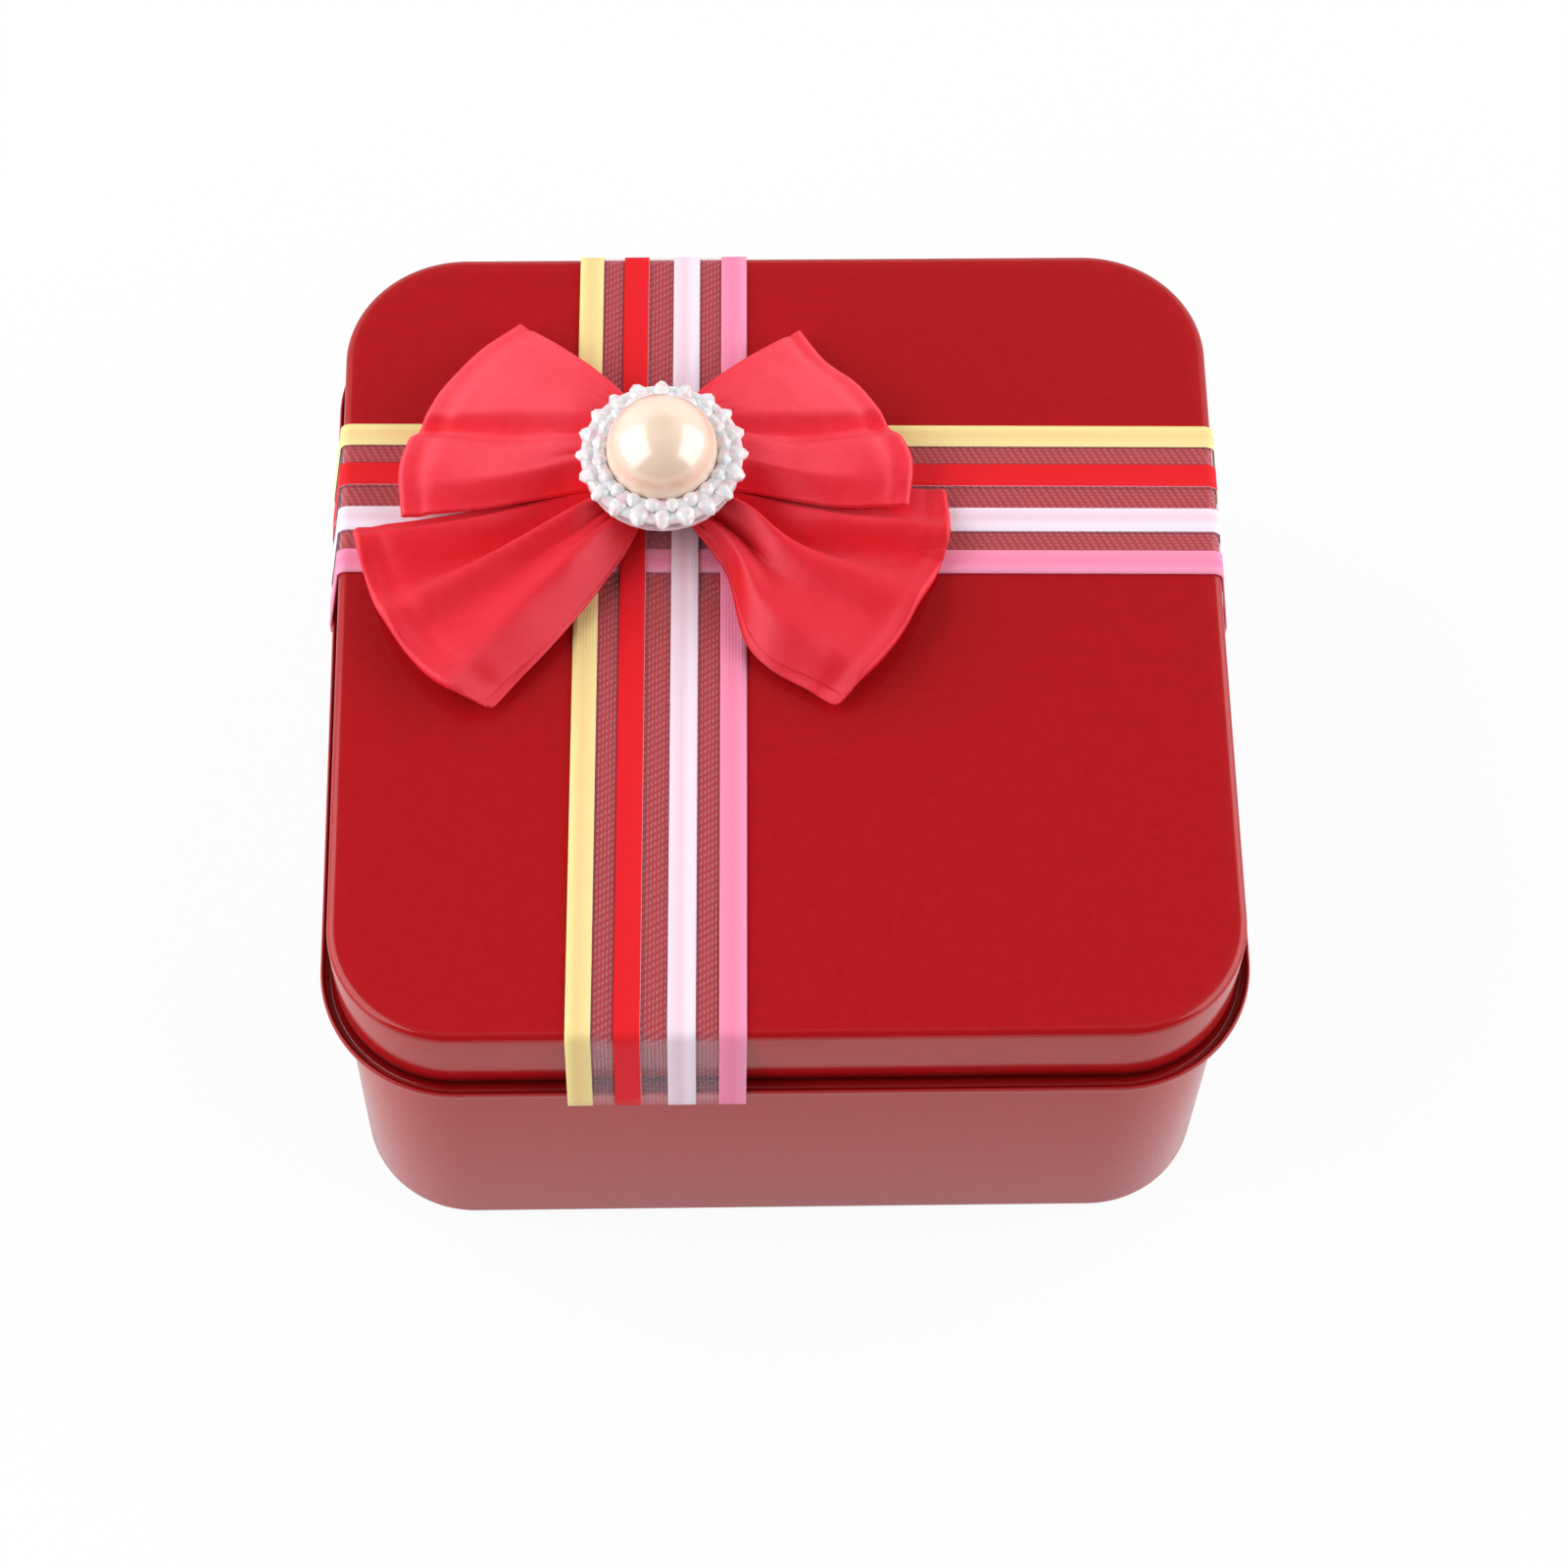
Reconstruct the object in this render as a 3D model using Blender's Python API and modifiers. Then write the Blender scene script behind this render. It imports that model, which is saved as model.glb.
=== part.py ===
"""Square slip-lid gift tin with two striped ribbons, a satin bow and a pearl button.

Lengths are metres and +Z is up. The origin is the centre of the tin's foot, with X to the
right and Y to the back. The tin is two tinplate pressings. Everything else is glued to the
lid and lifts off with it.
"""
import math

import bmesh
import bpy
from mathutils import Vector

# Gap left between two pieces that touch, and how near two points count as one
CLEAR = 0.0003
MERGE = 0.000001

# Tin: both pressings come from one gauge of tinplate
TINPLATE = 0.0003
TIN_HEIGHT = 0.0545
LID_SIDE = 0.1
LID_CORNER_RADIUS = 0.0138
LID_EDGE_RADIUS = 0.001
LID_DEPTH = 0.0131
CURL_DIAMETER = 0.0019
RIM_ROLL_DIAMETER = 0.0016
BASE_TAPER = 0.0002
BASE_EDGE_RADIUS = 0.0022
FOOT_WIDTH = 0.0025
PANEL_RECESS = 0.0008
ROLL_TURN = math.radians(285)
CORNER_STEPS = 8
EDGE_STEPS = 3
ROLL_STEPS = 8

# Striped ribbons: the lengthwise one lies over the crosswise one
RIBBON_WIDTH = 0.0195
RIBBON_THICKNESS = 0.00025
RIBBON_OVERHANG = 0.0008
LENGTHWISE_X = -0.0137
LENGTHWISE_SLANT = 0.0014
CROSSWISE_Y = 0.0167
CROSSWISE_SLANT = -0.0012
CROSSING_RAMP = 0.003
RIBBON_EDGE_STEPS = 4
RAMP_STEPS = 4

# Glue pads and the thread binding that hold the bow's stack together
GLUE_THICKNESS = 0.0004
GLUE_EDGE = 0.0001
BOW_GLUE_DIAMETER = 0.008
SETTING_GLUE_DIAMETER = 0.01
BINDING_WIDTH = 0.0012
BINDING_THICKNESS = 0.0003
BINDING_EASE = 0.0015
BINDING_CORNER_RADIUS = 0.0008
ROUND_STEPS = 32

# Satin bow: two flattened loops of ribbon, pinched in the middle, one over the other
SATIN = 0.00025
LOOP_PARTING = 0.0003
PINCH_WAVE = 0.0002
PINCH_PLEATS = 2
BEND_RADIUS = 0.0008
LOOP_PUFF = 0.0004
LOOP_LIFT = 0.005
RISE_POWER = 1.5
UPPER_REACH = 0.0296
UPPER_SPREAD = 0.0214
UPPER_GATHER_BACK = 0.006
UPPER_GATHER_FRONT = -0.0015
LOWER_REACH = 0.0348
LOWER_SPREAD = 0.0283
LOWER_GATHER_BACK = 0.003
LOWER_GATHER_FRONT = -0.0045
ALONG_STEPS = 8
ACROSS_STEPS = 12
BEND_STEPS = 4

# Outline of each loop's bend, from its back selvedge to its front one, as shares of reach and spread
UPPER_LEFT_BEND_SHARES = [
    (0.54, 1.0), (0.66, 0.87), (0.82, 0.61), (0.945, 0.32), (1.0, 0.08), (0.99, -0.16),
]
UPPER_RIGHT_BEND_SHARES = [
    (0.53, 0.95), (0.69, 0.73), (0.8, 0.56), (0.88, 0.35), (0.97, 0.1), (0.955, -0.17),
]
LOWER_LEFT_BEND_SHARES = [
    (1.0, -0.21), (0.965, -0.37), (0.875, -0.635), (0.76, -0.825), (0.62, -0.965), (0.53, -1.0),
]
LOWER_RIGHT_BEND_SHARES = [
    (0.94, -0.01), (0.945, -0.29), (0.875, -0.45), (0.77, -0.7), (0.7, -0.82), (0.56, -1.0),
]

# Back and front selvedge of each loop halfway along it, in the same shares
UPPER_LEFT_MIDDLE_SHARES = [(0.29, 0.74), (0.5, -0.1)]
UPPER_RIGHT_MIDDLE_SHARES = [(0.285, 0.665), (0.5, -0.1)]
LOWER_LEFT_MIDDLE_SHARES = [(0.5, -0.02), (0.27, -0.55)]
LOWER_RIGHT_MIDDLE_SHARES = [(0.48, -0.02), (0.235, -0.55)]

# Height of each loop over the ribbons, from back to front selvedge, as shares of LOOP_LIFT:
# the first list is halfway along the loop, the second at its bend
UPPER_LEFT_FOLD_SHARES = ([0.35, 0.8, 0.95, 0.7, 1.0, 0.86], [0.26, 0.6, 0.68, 0.4, 0.8, 0.8])
UPPER_RIGHT_FOLD_SHARES = ([0.35, 0.8, 0.95, 0.7, 1.0, 0.88], [0.26, 0.56, 0.66, 0.4, 0.84, 0.84])
LOWER_LEFT_FOLD_SHARES = ([0.3, 0.38, 0.27, 0.62, 0.95, 0.4], [0.2, 0.3, 0.18, 0.3, 0.34, 0.16])
LOWER_RIGHT_FOLD_SHARES = ([0.3, 0.36, 0.27, 0.62, 0.95, 0.4], [0.2, 0.32, 0.18, 0.3, 0.34, 0.16])

# Pearl button: a dished plate, two rings of fused beads and a flat-backed pearl
BUTTON_OFFSET_X = 0.0004
PLATE_THICKNESS = 0.0006
PLATE_FOOT_INSET = 0.0019
LEDGE_RISE = 0.00125
CUP_WALL = 0.0004
PEARL_DIAMETER = 0.0125
PEARL_CUT = 0.0031
OUTER_BEAD = 0.0017
INNER_BEAD = 0.0012
BEAD_STEP_UP = 0.0006
BEAD_COUNT = 20
BEAD_STEPS = 4
NECK_SHARE = 0.45
PEARL_STEPS = 12

# Finishes: colour in linear light, roughness, metallic
RED_LACQUER = ((0.44, 0.010, 0.011), 0.22, 0.0)
STRIPED_WEAVE = ((0.72, 0.30, 0.30), 0.55, 0.0)
RED_SATIN = ((0.80, 0.045, 0.070), 0.38, 0.0)
RED_THREAD = ((0.60, 0.030, 0.040), 0.70, 0.0)
CLEAR_GLUE = ((0.75, 0.72, 0.65), 0.35, 0.0)
WHITE_PLASTIC = ((0.85, 0.80, 0.82), 0.30, 0.0)
IVORY_PEARL = ((0.86, 0.74, 0.60), 0.18, 0.0)

# Places worked out from the sizes above
LID_BOTTOM = TIN_HEIGHT - LID_DEPTH
CURL_MIDDLE = LID_BOTTOM + CURL_DIAMETER / 2
CURL_OUTSET = CURL_DIAMETER - TINPLATE
BASE_SIDE = LID_SIDE - 2 * (TINPLATE + CLEAR)
BASE_CORNER_RADIUS = LID_CORNER_RADIUS - TINPLATE - CLEAR
RIM_TOP = TIN_HEIGHT - TINPLATE - CLEAR
RIBBON_STEP = RIBBON_THICKNESS + CLEAR
RIBBON_HEIGHT = TIN_HEIGHT + CLEAR + RIBBON_THICKNESS / 2
RIBBONS_TOP = TIN_HEIGHT + 2 * RIBBON_STEP
BOW_GLUE_BOTTOM = RIBBONS_TOP + CLEAR
BINDING_BOTTOM = BOW_GLUE_BOTTOM + GLUE_THICKNESS + CLEAR
PINCH_HEIGHT = 2 * (SATIN + PINCH_WAVE) + LOOP_PARTING
LOWER_PINCH = BINDING_BOTTOM + BINDING_THICKNESS + CLEAR + PINCH_HEIGHT / 2
UPPER_PINCH = LOWER_PINCH + PINCH_HEIGHT + CLEAR
BINDING_TOP = UPPER_PINCH + PINCH_HEIGHT / 2 + CLEAR + BINDING_THICKNESS
SETTING_GLUE_BOTTOM = BINDING_TOP + CLEAR
CUP_RADIUS = PEARL_DIAMETER / 2 + CLEAR
INNER_CIRCLE_RADIUS = CUP_RADIUS + INNER_BEAD / 2
OUTER_CIRCLE_RADIUS = INNER_CIRCLE_RADIUS + (OUTER_BEAD + INNER_BEAD) / 2 + CLEAR
BOW_CENTRE = Vector((LENGTHWISE_X, CROSSWISE_Y, 0))
BUTTON_CENTRE = BOW_CENTRE + Vector((BUTTON_OFFSET_X, 0, 0))


def clear_scene():
    for item in list(bpy.data.objects):
        bpy.data.objects.remove(item, do_unlink=True)


def parts_collection():
    parts = bpy.data.collections.new("candy_gift_box")
    bpy.context.scene.collection.children.link(parts)
    return parts


def finish_material(name, finish):
    colour, roughness, metallic = finish
    material = bpy.data.materials.new(name)
    material.use_nodes = True
    shader = material.node_tree.nodes["Principled BSDF"]
    shader.inputs["Base Color"].default_value = (*colour, 1)
    shader.inputs["Roughness"].default_value = roughness
    shader.inputs["Metallic"].default_value = metallic
    return material


def add_piece(name, data, finish, place=(0, 0, 0)):
    piece = bpy.data.objects.new(name, data)
    piece.data.materials.append(finish_material(name, finish))
    piece.location = place
    bpy.data.collections["candy_gift_box"].objects.link(piece)
    return piece


def mesh_from(name, mesh_edit):
    bmesh.ops.recalc_face_normals(mesh_edit, faces=mesh_edit.faces)
    mesh = bpy.data.meshes.new(name)
    mesh_edit.to_mesh(mesh)
    mesh_edit.free()
    mesh.shade_smooth()
    return mesh


def add_thickness(piece, thickness, even):
    """Gives an open surface its thickness, half to each side."""
    solid = piece.modifiers.new("thickness", "SOLIDIFY")
    solid.thickness = thickness
    solid.offset = 0
    solid.use_even_offset = even


def arc(centre, radius, start, turn, steps):
    """Points of a round stretch of a section, as (outward, up)."""
    angles = [start + turn * step / steps for step in range(steps + 1)]
    return [(centre[0] + radius * math.cos(a), centre[1] + radius * math.sin(a)) for a in angles]


def rounded_square(side, radius, height):
    """One closed ring of points, anticlockwise from the middle of the right side."""
    ring = []
    reach = side / 2 - radius
    for corner, (across, back) in enumerate([(1, 1), (-1, 1), (-1, -1), (1, -1)]):
        for step in range(CORNER_STEPS + 1):
            angle = (corner + step / CORNER_STEPS) * math.pi / 2
            x = across * reach + radius * math.cos(angle)
            y = back * reach + radius * math.sin(angle)
            ring.append(Vector((x, y, height)))
    return ring


def add_pressing(name, section, side, radius):
    """A tin half: its section swept round a rounded square, from the flat panel outwards."""
    shape = bmesh.new()
    rings = []
    for outward, up in section:
        ring = rounded_square(side + 2 * outward, radius + outward, up)
        rings.append([shape.verts.new(point) for point in ring])
    shape.faces.new(rings[0])
    for inner, outer in zip(rings, rings[1:]):
        for index in range(len(inner)):
            after = (index + 1) % len(inner)
            shape.faces.new((inner[index], inner[after], outer[after], outer[index]))
    piece = add_piece(name, mesh_from(name, shape), RED_LACQUER)
    add_thickness(piece, TINPLATE, True)
    return piece


def add_lid():
    """Flat panel, small edge radius, straight skirt and an open curl turned outwards."""
    bend = LID_EDGE_RADIUS - TINPLATE / 2
    roll = (CURL_DIAMETER - TINPLATE) / 2
    panel = TIN_HEIGHT - TINPLATE / 2
    section = arc((-bend, panel - bend), bend, math.pi / 2, -math.pi / 2, EDGE_STEPS)
    section += arc((roll, CURL_MIDDLE), roll, math.pi, ROLL_TURN, ROLL_STEPS)
    add_pressing("lid_tin", section, LID_SIDE - TINPLATE, LID_CORNER_RADIUS - TINPLATE / 2)


def add_base():
    """Recessed bottom panel, flat foot, rounded lower edge, tapered wall and a rim rolled inwards."""
    step = PANEL_RECESS / 2
    bend = BASE_EDGE_RADIUS - TINPLATE / 2
    roll = (RIM_ROLL_DIAMETER - TINPLATE) / 2
    foot = TINPLATE / 2
    foot_outer = -BASE_TAPER - bend
    foot_inner = foot_outer - FOOT_WIDTH
    section = arc((foot_inner - 2 * step, foot + step), step, math.pi / 2, -math.pi / 2, EDGE_STEPS)
    section += arc((foot_inner, foot + step), step, math.pi, math.pi / 2, EDGE_STEPS)[1:]
    section += arc((foot_outer, foot + bend), bend, -math.pi / 2, math.pi / 2, EDGE_STEPS)
    section += arc((-roll, RIM_TOP - RIM_ROLL_DIAMETER / 2), roll, 0, ROLL_TURN, ROLL_STEPS)
    add_pressing("base_tin", section, BASE_SIDE - TINPLATE, BASE_CORNER_RADIUS - TINPLATE / 2)


def ribbon_half_path(crossing_start, rise):
    """Half of a ribbon's middle line, as (along, up), from the crossing down to the cut end."""
    half = LID_SIDE / 2
    lift = CLEAR + RIBBON_THICKNESS / 2
    points = []
    for step in range(RAMP_STEPS + 1):
        share = step / RAMP_STEPS
        ease = 1 - share * share * (3 - 2 * share)
        points.append((crossing_start + CROSSING_RAMP * share, RIBBON_HEIGHT + rise * ease))
    corner = (half - LID_EDGE_RADIUS, TIN_HEIGHT - LID_EDGE_RADIUS)
    points += arc(corner, LID_EDGE_RADIUS + lift, math.pi / 2, -math.pi / 2, RIBBON_EDGE_STEPS)
    points.append((half + CURL_OUTSET + lift, CURL_MIDDLE))
    points.append((half + CURL_OUTSET + lift, LID_BOTTOM - RIBBON_OVERHANG))
    return points


def add_ribbon(name, along, across, place, slant, crossing, rise):
    """A woven strip over the lid and down two sides of its skirt, cut off below the curl.

    The strip's middle line shifts sideways by slant over the lid's side, and it rises by rise
    where it crosses the other ribbon, whose middle is at crossing.
    """
    flat = (RIBBON_WIDTH + abs(LENGTHWISE_SLANT) + abs(CROSSWISE_SLANT)) / 2
    back = [(-s, up) for s, up in ribbon_half_path(flat - crossing, rise)]
    front = ribbon_half_path(flat + crossing, rise)
    shape = bmesh.new()
    line = []
    for distance, up in list(reversed(back)) + front:
        middle = place + slant * distance / LID_SIDE
        start = along * distance + across * (middle - RIBBON_WIDTH / 2)
        line.append(shape.verts.new(start + Vector((0, 0, up))))
    edges = [shape.edges.new(pair) for pair in zip(line, line[1:])]
    grown = bmesh.ops.extrude_edge_only(shape, edges=edges)["geom"]
    moved = [item for item in grown if isinstance(item, bmesh.types.BMVert)]
    bmesh.ops.translate(shape, verts=moved, vec=across * RIBBON_WIDTH)
    piece = add_piece(name, mesh_from(name, shape), STRIPED_WEAVE)
    add_thickness(piece, RIBBON_THICKNESS, True)


def add_glue_pad(name, diameter, bottom, top):
    shape = bmesh.new()
    bmesh.ops.create_cone(
        shape, cap_ends=True, segments=ROUND_STEPS, radius1=diameter / 2,
        radius2=diameter / 2, depth=top - bottom,
    )
    middle = BOW_CENTRE + Vector((0, 0, (bottom + top) / 2))
    piece = add_piece(name, mesh_from(name, shape), CLEAR_GLUE, middle)
    edge = piece.modifiers.new("round_edge", "BEVEL")
    edge.width = GLUE_EDGE
    edge.segments = 2
    edge.limit_method = "ANGLE"


def through(values, share):
    """Smooth curve through evenly spaced values, read at a share of the way along them."""
    last = len(values) - 1
    index = min(int(share * last), last - 1)
    t = share * last - index
    start, end = values[index], values[index + 1]
    before = values[index - 1] if index else start * 2 - end
    after = values[index + 2] if index + 2 <= last else end * 2 - start
    leave = (end - before) / 2
    arrive = (after - start) / 2
    blend = start * (2 * t ** 3 - 3 * t ** 2 + 1) + end * (3 * t ** 2 - 2 * t ** 3)
    return blend + leave * (t ** 3 - 2 * t ** 2 + t) + arrive * (t ** 3 - t ** 2)


def parabola(start, middle, end, share):
    """Value at a share of the way along a parabola through its start, middle and end."""
    return (
        start * (1 - share) * (1 - 2 * share)
        + middle * 4 * share * (1 - share)
        + end * share * (2 * share - 1)
    )


class Loop:
    """One side of a bow: a flattened loop from the pinch out to its bend."""

    def __init__(self, side, size, pinch, bend_shares, middle_shares, fold_shares):
        reach, spread, gather_back, gather_front = size
        self.pinch = pinch
        self.gathered = [Vector((0, gather_back, 0)), Vector((0, gather_front, 0))]
        self.bend = [Vector((side * x * reach, y * spread, 0)) for x, y in bend_shares]
        self.middle = [Vector((side * x * reach, y * spread, 0)) for x, y in middle_shares]
        self.halfway, self.outer = fold_shares

    def point(self, along, across, turn):
        """Middle of the satin: along 0 to 1 from pinch to bend, across 0 to 1 from back to front.

        turn is the angle round the bend: a quarter turn on the top layer, minus that below.
        """
        gathered = self.gathered[0].lerp(self.gathered[1], across)
        halfway = self.middle[0].lerp(self.middle[1], across)
        edge = through(self.bend, across)
        outward = (edge - halfway).normalized()
        plan = parabola(gathered, halfway, edge - outward * BEND_RADIUS, along)
        plan += outward * BEND_RADIUS * math.cos(turn)
        pleat = PINCH_WAVE * math.cos(across * PINCH_PLEATS * 2 * math.pi)
        height = parabola(
            self.pinch + pleat,
            RIBBONS_TOP + LOOP_LIFT * through(self.halfway, across),
            RIBBONS_TOP + LOOP_LIFT * through(self.outer, across),
            along ** RISE_POWER,
        )
        pinched = (LOOP_PARTING + SATIN) / 2
        open_share = 4 * along * (1 - along) * math.sin(math.pi * across)
        parting = pinched + (BEND_RADIUS - pinched) * along + LOOP_PUFF * open_share
        return BOW_CENTRE + plan + Vector((0, 0, height + parting * math.sin(turn)))

    def layer(self, steps, quarter):
        return [(self, step / ALONG_STEPS, quarter * math.pi / 2) for step in steps]

    def bend_rows(self, quarter):
        turns = [quarter * math.pi / 2 * (1 - 2 * step / BEND_STEPS) for step in range(1, BEND_STEPS)]
        return [(self, 1, turn) for turn in turns]


def add_bow(name, left, right):
    """A band of satin once round the loops: over the top, round a bend, back below, round the other."""
    steps = range(ALONG_STEPS + 1)
    rows = left.layer(reversed(steps), 1) + right.layer(steps[1:], 1)
    rows += right.bend_rows(1)
    rows += right.layer(reversed(steps), -1) + left.layer(steps[1:], -1)
    rows += left.bend_rows(-1)
    shape = bmesh.new()
    lines = []
    for loop, along, turn in rows:
        shares = [step / ACROSS_STEPS for step in range(ACROSS_STEPS + 1)]
        lines.append([shape.verts.new(loop.point(along, share, turn)) for share in shares])
    for line, after in zip(lines, lines[1:] + lines[:1]):
        for index in range(ACROSS_STEPS):
            shape.faces.new((line[index], line[index + 1], after[index + 1], after[index]))
    piece = add_piece(name, mesh_from(name, shape), RED_SATIN)
    add_thickness(piece, SATIN, False)


def upper_loops():
    size = (UPPER_REACH, UPPER_SPREAD, UPPER_GATHER_BACK, UPPER_GATHER_FRONT)
    left = (UPPER_LEFT_BEND_SHARES, UPPER_LEFT_MIDDLE_SHARES, UPPER_LEFT_FOLD_SHARES)
    right = (UPPER_RIGHT_BEND_SHARES, UPPER_RIGHT_MIDDLE_SHARES, UPPER_RIGHT_FOLD_SHARES)
    return Loop(-1, size, UPPER_PINCH, *left), Loop(1, size, UPPER_PINCH, *right)


def lower_loops():
    size = (LOWER_REACH, LOWER_SPREAD, LOWER_GATHER_BACK, LOWER_GATHER_FRONT)
    left = (LOWER_LEFT_BEND_SHARES, LOWER_LEFT_MIDDLE_SHARES, LOWER_LEFT_FOLD_SHARES)
    right = (LOWER_RIGHT_BEND_SHARES, LOWER_RIGHT_MIDDLE_SHARES, LOWER_RIGHT_FOLD_SHARES)
    return Loop(-1, size, LOWER_PINCH, *left), Loop(1, size, LOWER_PINCH, *right)


def setting_bottom():
    """Height at which the button clears the binding, its glue and the loops that swell under it."""
    heights = [SETTING_GLUE_BOTTOM + GLUE_THICKNESS]
    for loop in upper_loops() + lower_loops():
        for along in range(ALONG_STEPS + 1):
            for across in range(ACROSS_STEPS + 1):
                point = loop.point(along / ALONG_STEPS, across / ACROSS_STEPS, math.pi / 2)
                if (point - BUTTON_CENTRE).xy.length < OUTER_CIRCLE_RADIUS + OUTER_BEAD:
                    heights.append(point.z + SATIN)
    return max(heights) + CLEAR


def add_binding():
    """Thread wound round the pinched middle of both bows, as one flat band."""
    bend = BINDING_CORNER_RADIUS
    back = max(UPPER_GATHER_BACK, LOWER_GATHER_BACK) + BINDING_EASE - bend
    front = min(UPPER_GATHER_FRONT, LOWER_GATHER_FRONT) - BINDING_EASE + bend
    low = BINDING_BOTTOM + BINDING_THICKNESS / 2 + bend
    high = BINDING_TOP - BINDING_THICKNESS / 2 - bend
    path = []
    for corner, centre in enumerate([(back, low), (back, high), (front, high), (front, low)]):
        path += arc(centre, bend, (corner - 1) * math.pi / 2, math.pi / 2, EDGE_STEPS)
    shape = bmesh.new()
    line = [shape.verts.new(BOW_CENTRE + Vector((-BINDING_WIDTH / 2, y, z))) for y, z in path]
    edges = [shape.edges.new(pair) for pair in zip(line, line[1:] + line[:1])]
    grown = bmesh.ops.extrude_edge_only(shape, edges=edges)["geom"]
    moved = [item for item in grown if isinstance(item, bmesh.types.BMVert)]
    bmesh.ops.translate(shape, verts=moved, vec=Vector((BINDING_WIDTH, 0, 0)))
    piece = add_piece("bow_thread_binding", mesh_from("bow_thread_binding", shape), RED_THREAD)
    add_thickness(piece, BINDING_THICKNESS, True)


def add_turned(name, profile, finish, steps):
    """A turned piece of the button: its profile is (radius, height), from the top down."""
    shape = bmesh.new()
    line = [shape.verts.new((radius, 0, height)) for radius, height in profile]
    for pair in zip(line, line[1:]):
        shape.edges.new(pair)
    mesh = bpy.data.meshes.new(name)
    shape.to_mesh(mesh)
    shape.free()
    piece = add_piece(name, mesh, finish, BUTTON_CENTRE)
    turn = piece.modifiers.new("turn", "SCREW")
    turn.axis = "Z"
    turn.steps = steps
    turn.render_steps = steps
    turn.use_merge_vertices = True
    turn.merge_threshold = MERGE
    turn.use_smooth_shade = True


def add_setting_plate(bottom):
    """Dished plate: a low cup holds the pearl, and the raised rim carries the outer beads."""
    floor = bottom + PLATE_THICKNESS
    ledge = floor + LEDGE_RISE
    cup_top = ledge + (OUTER_BEAD - INNER_BEAD) / 2 + BEAD_STEP_UP
    cup_outer = CUP_RADIUS + CUP_WALL
    rim = OUTER_CIRCLE_RADIUS
    profile = [(0, floor), (CUP_RADIUS, floor), (CUP_RADIUS, cup_top), (cup_outer, cup_top)]
    profile += [(cup_outer, ledge), (rim, ledge), (rim, ledge - PLATE_THICKNESS)]
    profile += [(rim - PLATE_FOOT_INSET, bottom), (0, bottom)]
    add_turned("setting_plate", profile, WHITE_PLASTIC, ROUND_STEPS)


def add_pearl(back):
    """A ball with a flat back, cut off below its middle."""
    radius = PEARL_DIAMETER / 2
    end = math.asin(-PEARL_CUT / radius)
    profile = arc((0, back + PEARL_CUT), radius, math.pi / 2, end - math.pi / 2, PEARL_STEPS)
    profile[0] = (0, profile[0][1])
    profile.append((0, profile[-1][1]))
    add_turned("pearl_cabochon", profile, IVORY_PEARL, ROUND_STEPS)


def add_bead_ring(name, radius, bead, height):
    """Beads moulded in one ring: a round tube whose radius swells at each bead."""
    curve = bpy.data.curves.new(name, "CURVE")
    curve.dimensions = "3D"
    curve.bevel_depth = bead / 2
    curve.bevel_resolution = 1
    spline = curve.splines.new("POLY")
    spline.use_cyclic_u = True
    count = BEAD_COUNT * BEAD_STEPS
    spline.points.add(count - 1)
    for index, point in enumerate(spline.points):
        angle = 2 * math.pi * index / count
        offset = abs(2 * (index % BEAD_STEPS) / BEAD_STEPS - 1)
        point.co = (radius * math.cos(angle), radius * math.sin(angle), 0, 1)
        point.radius = max(NECK_SHARE, math.sqrt(1 - offset ** 2))
    place = BUTTON_CENTRE + Vector((0, 0, height))
    add_piece(name, curve, WHITE_PLASTIC, place)


def main():
    clear_scene()
    parts_collection()
    add_base()
    add_lid()
    x, y = Vector((1, 0, 0)), Vector((0, 1, 0))
    add_ribbon("ribbon_crosswise", x, y, CROSSWISE_Y, CROSSWISE_SLANT, LENGTHWISE_X, 0)
    add_ribbon("ribbon_lengthwise", y, x, LENGTHWISE_X, LENGTHWISE_SLANT, CROSSWISE_Y, RIBBON_STEP)
    add_glue_pad("bow_glue_pad", BOW_GLUE_DIAMETER, BOW_GLUE_BOTTOM, BOW_GLUE_BOTTOM + GLUE_THICKNESS)
    add_bow("bow_lower_loops", *lower_loops())
    add_bow("bow_upper_loops", *upper_loops())
    add_binding()
    plate = setting_bottom()
    seat = plate + PLATE_THICKNESS + CLEAR
    outer = seat + LEDGE_RISE + OUTER_BEAD / 2
    add_glue_pad("setting_glue_pad", SETTING_GLUE_DIAMETER, SETTING_GLUE_BOTTOM, plate - CLEAR)
    add_setting_plate(plate)
    add_bead_ring("outer_bead_ring", OUTER_CIRCLE_RADIUS, OUTER_BEAD, outer)
    add_bead_ring("inner_bead_ring", INNER_CIRCLE_RADIUS, INNER_BEAD, outer + BEAD_STEP_UP)
    add_pearl(seat)


main()
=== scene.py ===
import math

import bmesh
import bpy
from mathutils import Matrix, Vector, noise


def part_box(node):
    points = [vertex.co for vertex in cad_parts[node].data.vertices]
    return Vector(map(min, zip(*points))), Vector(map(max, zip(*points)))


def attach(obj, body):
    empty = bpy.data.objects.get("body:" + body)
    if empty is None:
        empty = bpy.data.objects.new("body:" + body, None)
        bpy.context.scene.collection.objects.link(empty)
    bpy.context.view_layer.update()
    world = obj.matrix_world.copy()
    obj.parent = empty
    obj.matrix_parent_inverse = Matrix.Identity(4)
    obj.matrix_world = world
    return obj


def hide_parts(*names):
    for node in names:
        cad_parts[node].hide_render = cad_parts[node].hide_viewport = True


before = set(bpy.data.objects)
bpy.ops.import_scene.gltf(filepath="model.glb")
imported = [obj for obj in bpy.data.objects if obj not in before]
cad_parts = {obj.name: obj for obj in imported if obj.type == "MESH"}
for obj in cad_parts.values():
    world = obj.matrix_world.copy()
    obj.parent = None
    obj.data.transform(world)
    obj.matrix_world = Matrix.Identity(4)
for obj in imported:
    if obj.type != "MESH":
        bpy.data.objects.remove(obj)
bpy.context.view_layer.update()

MM = 0.001

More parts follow.
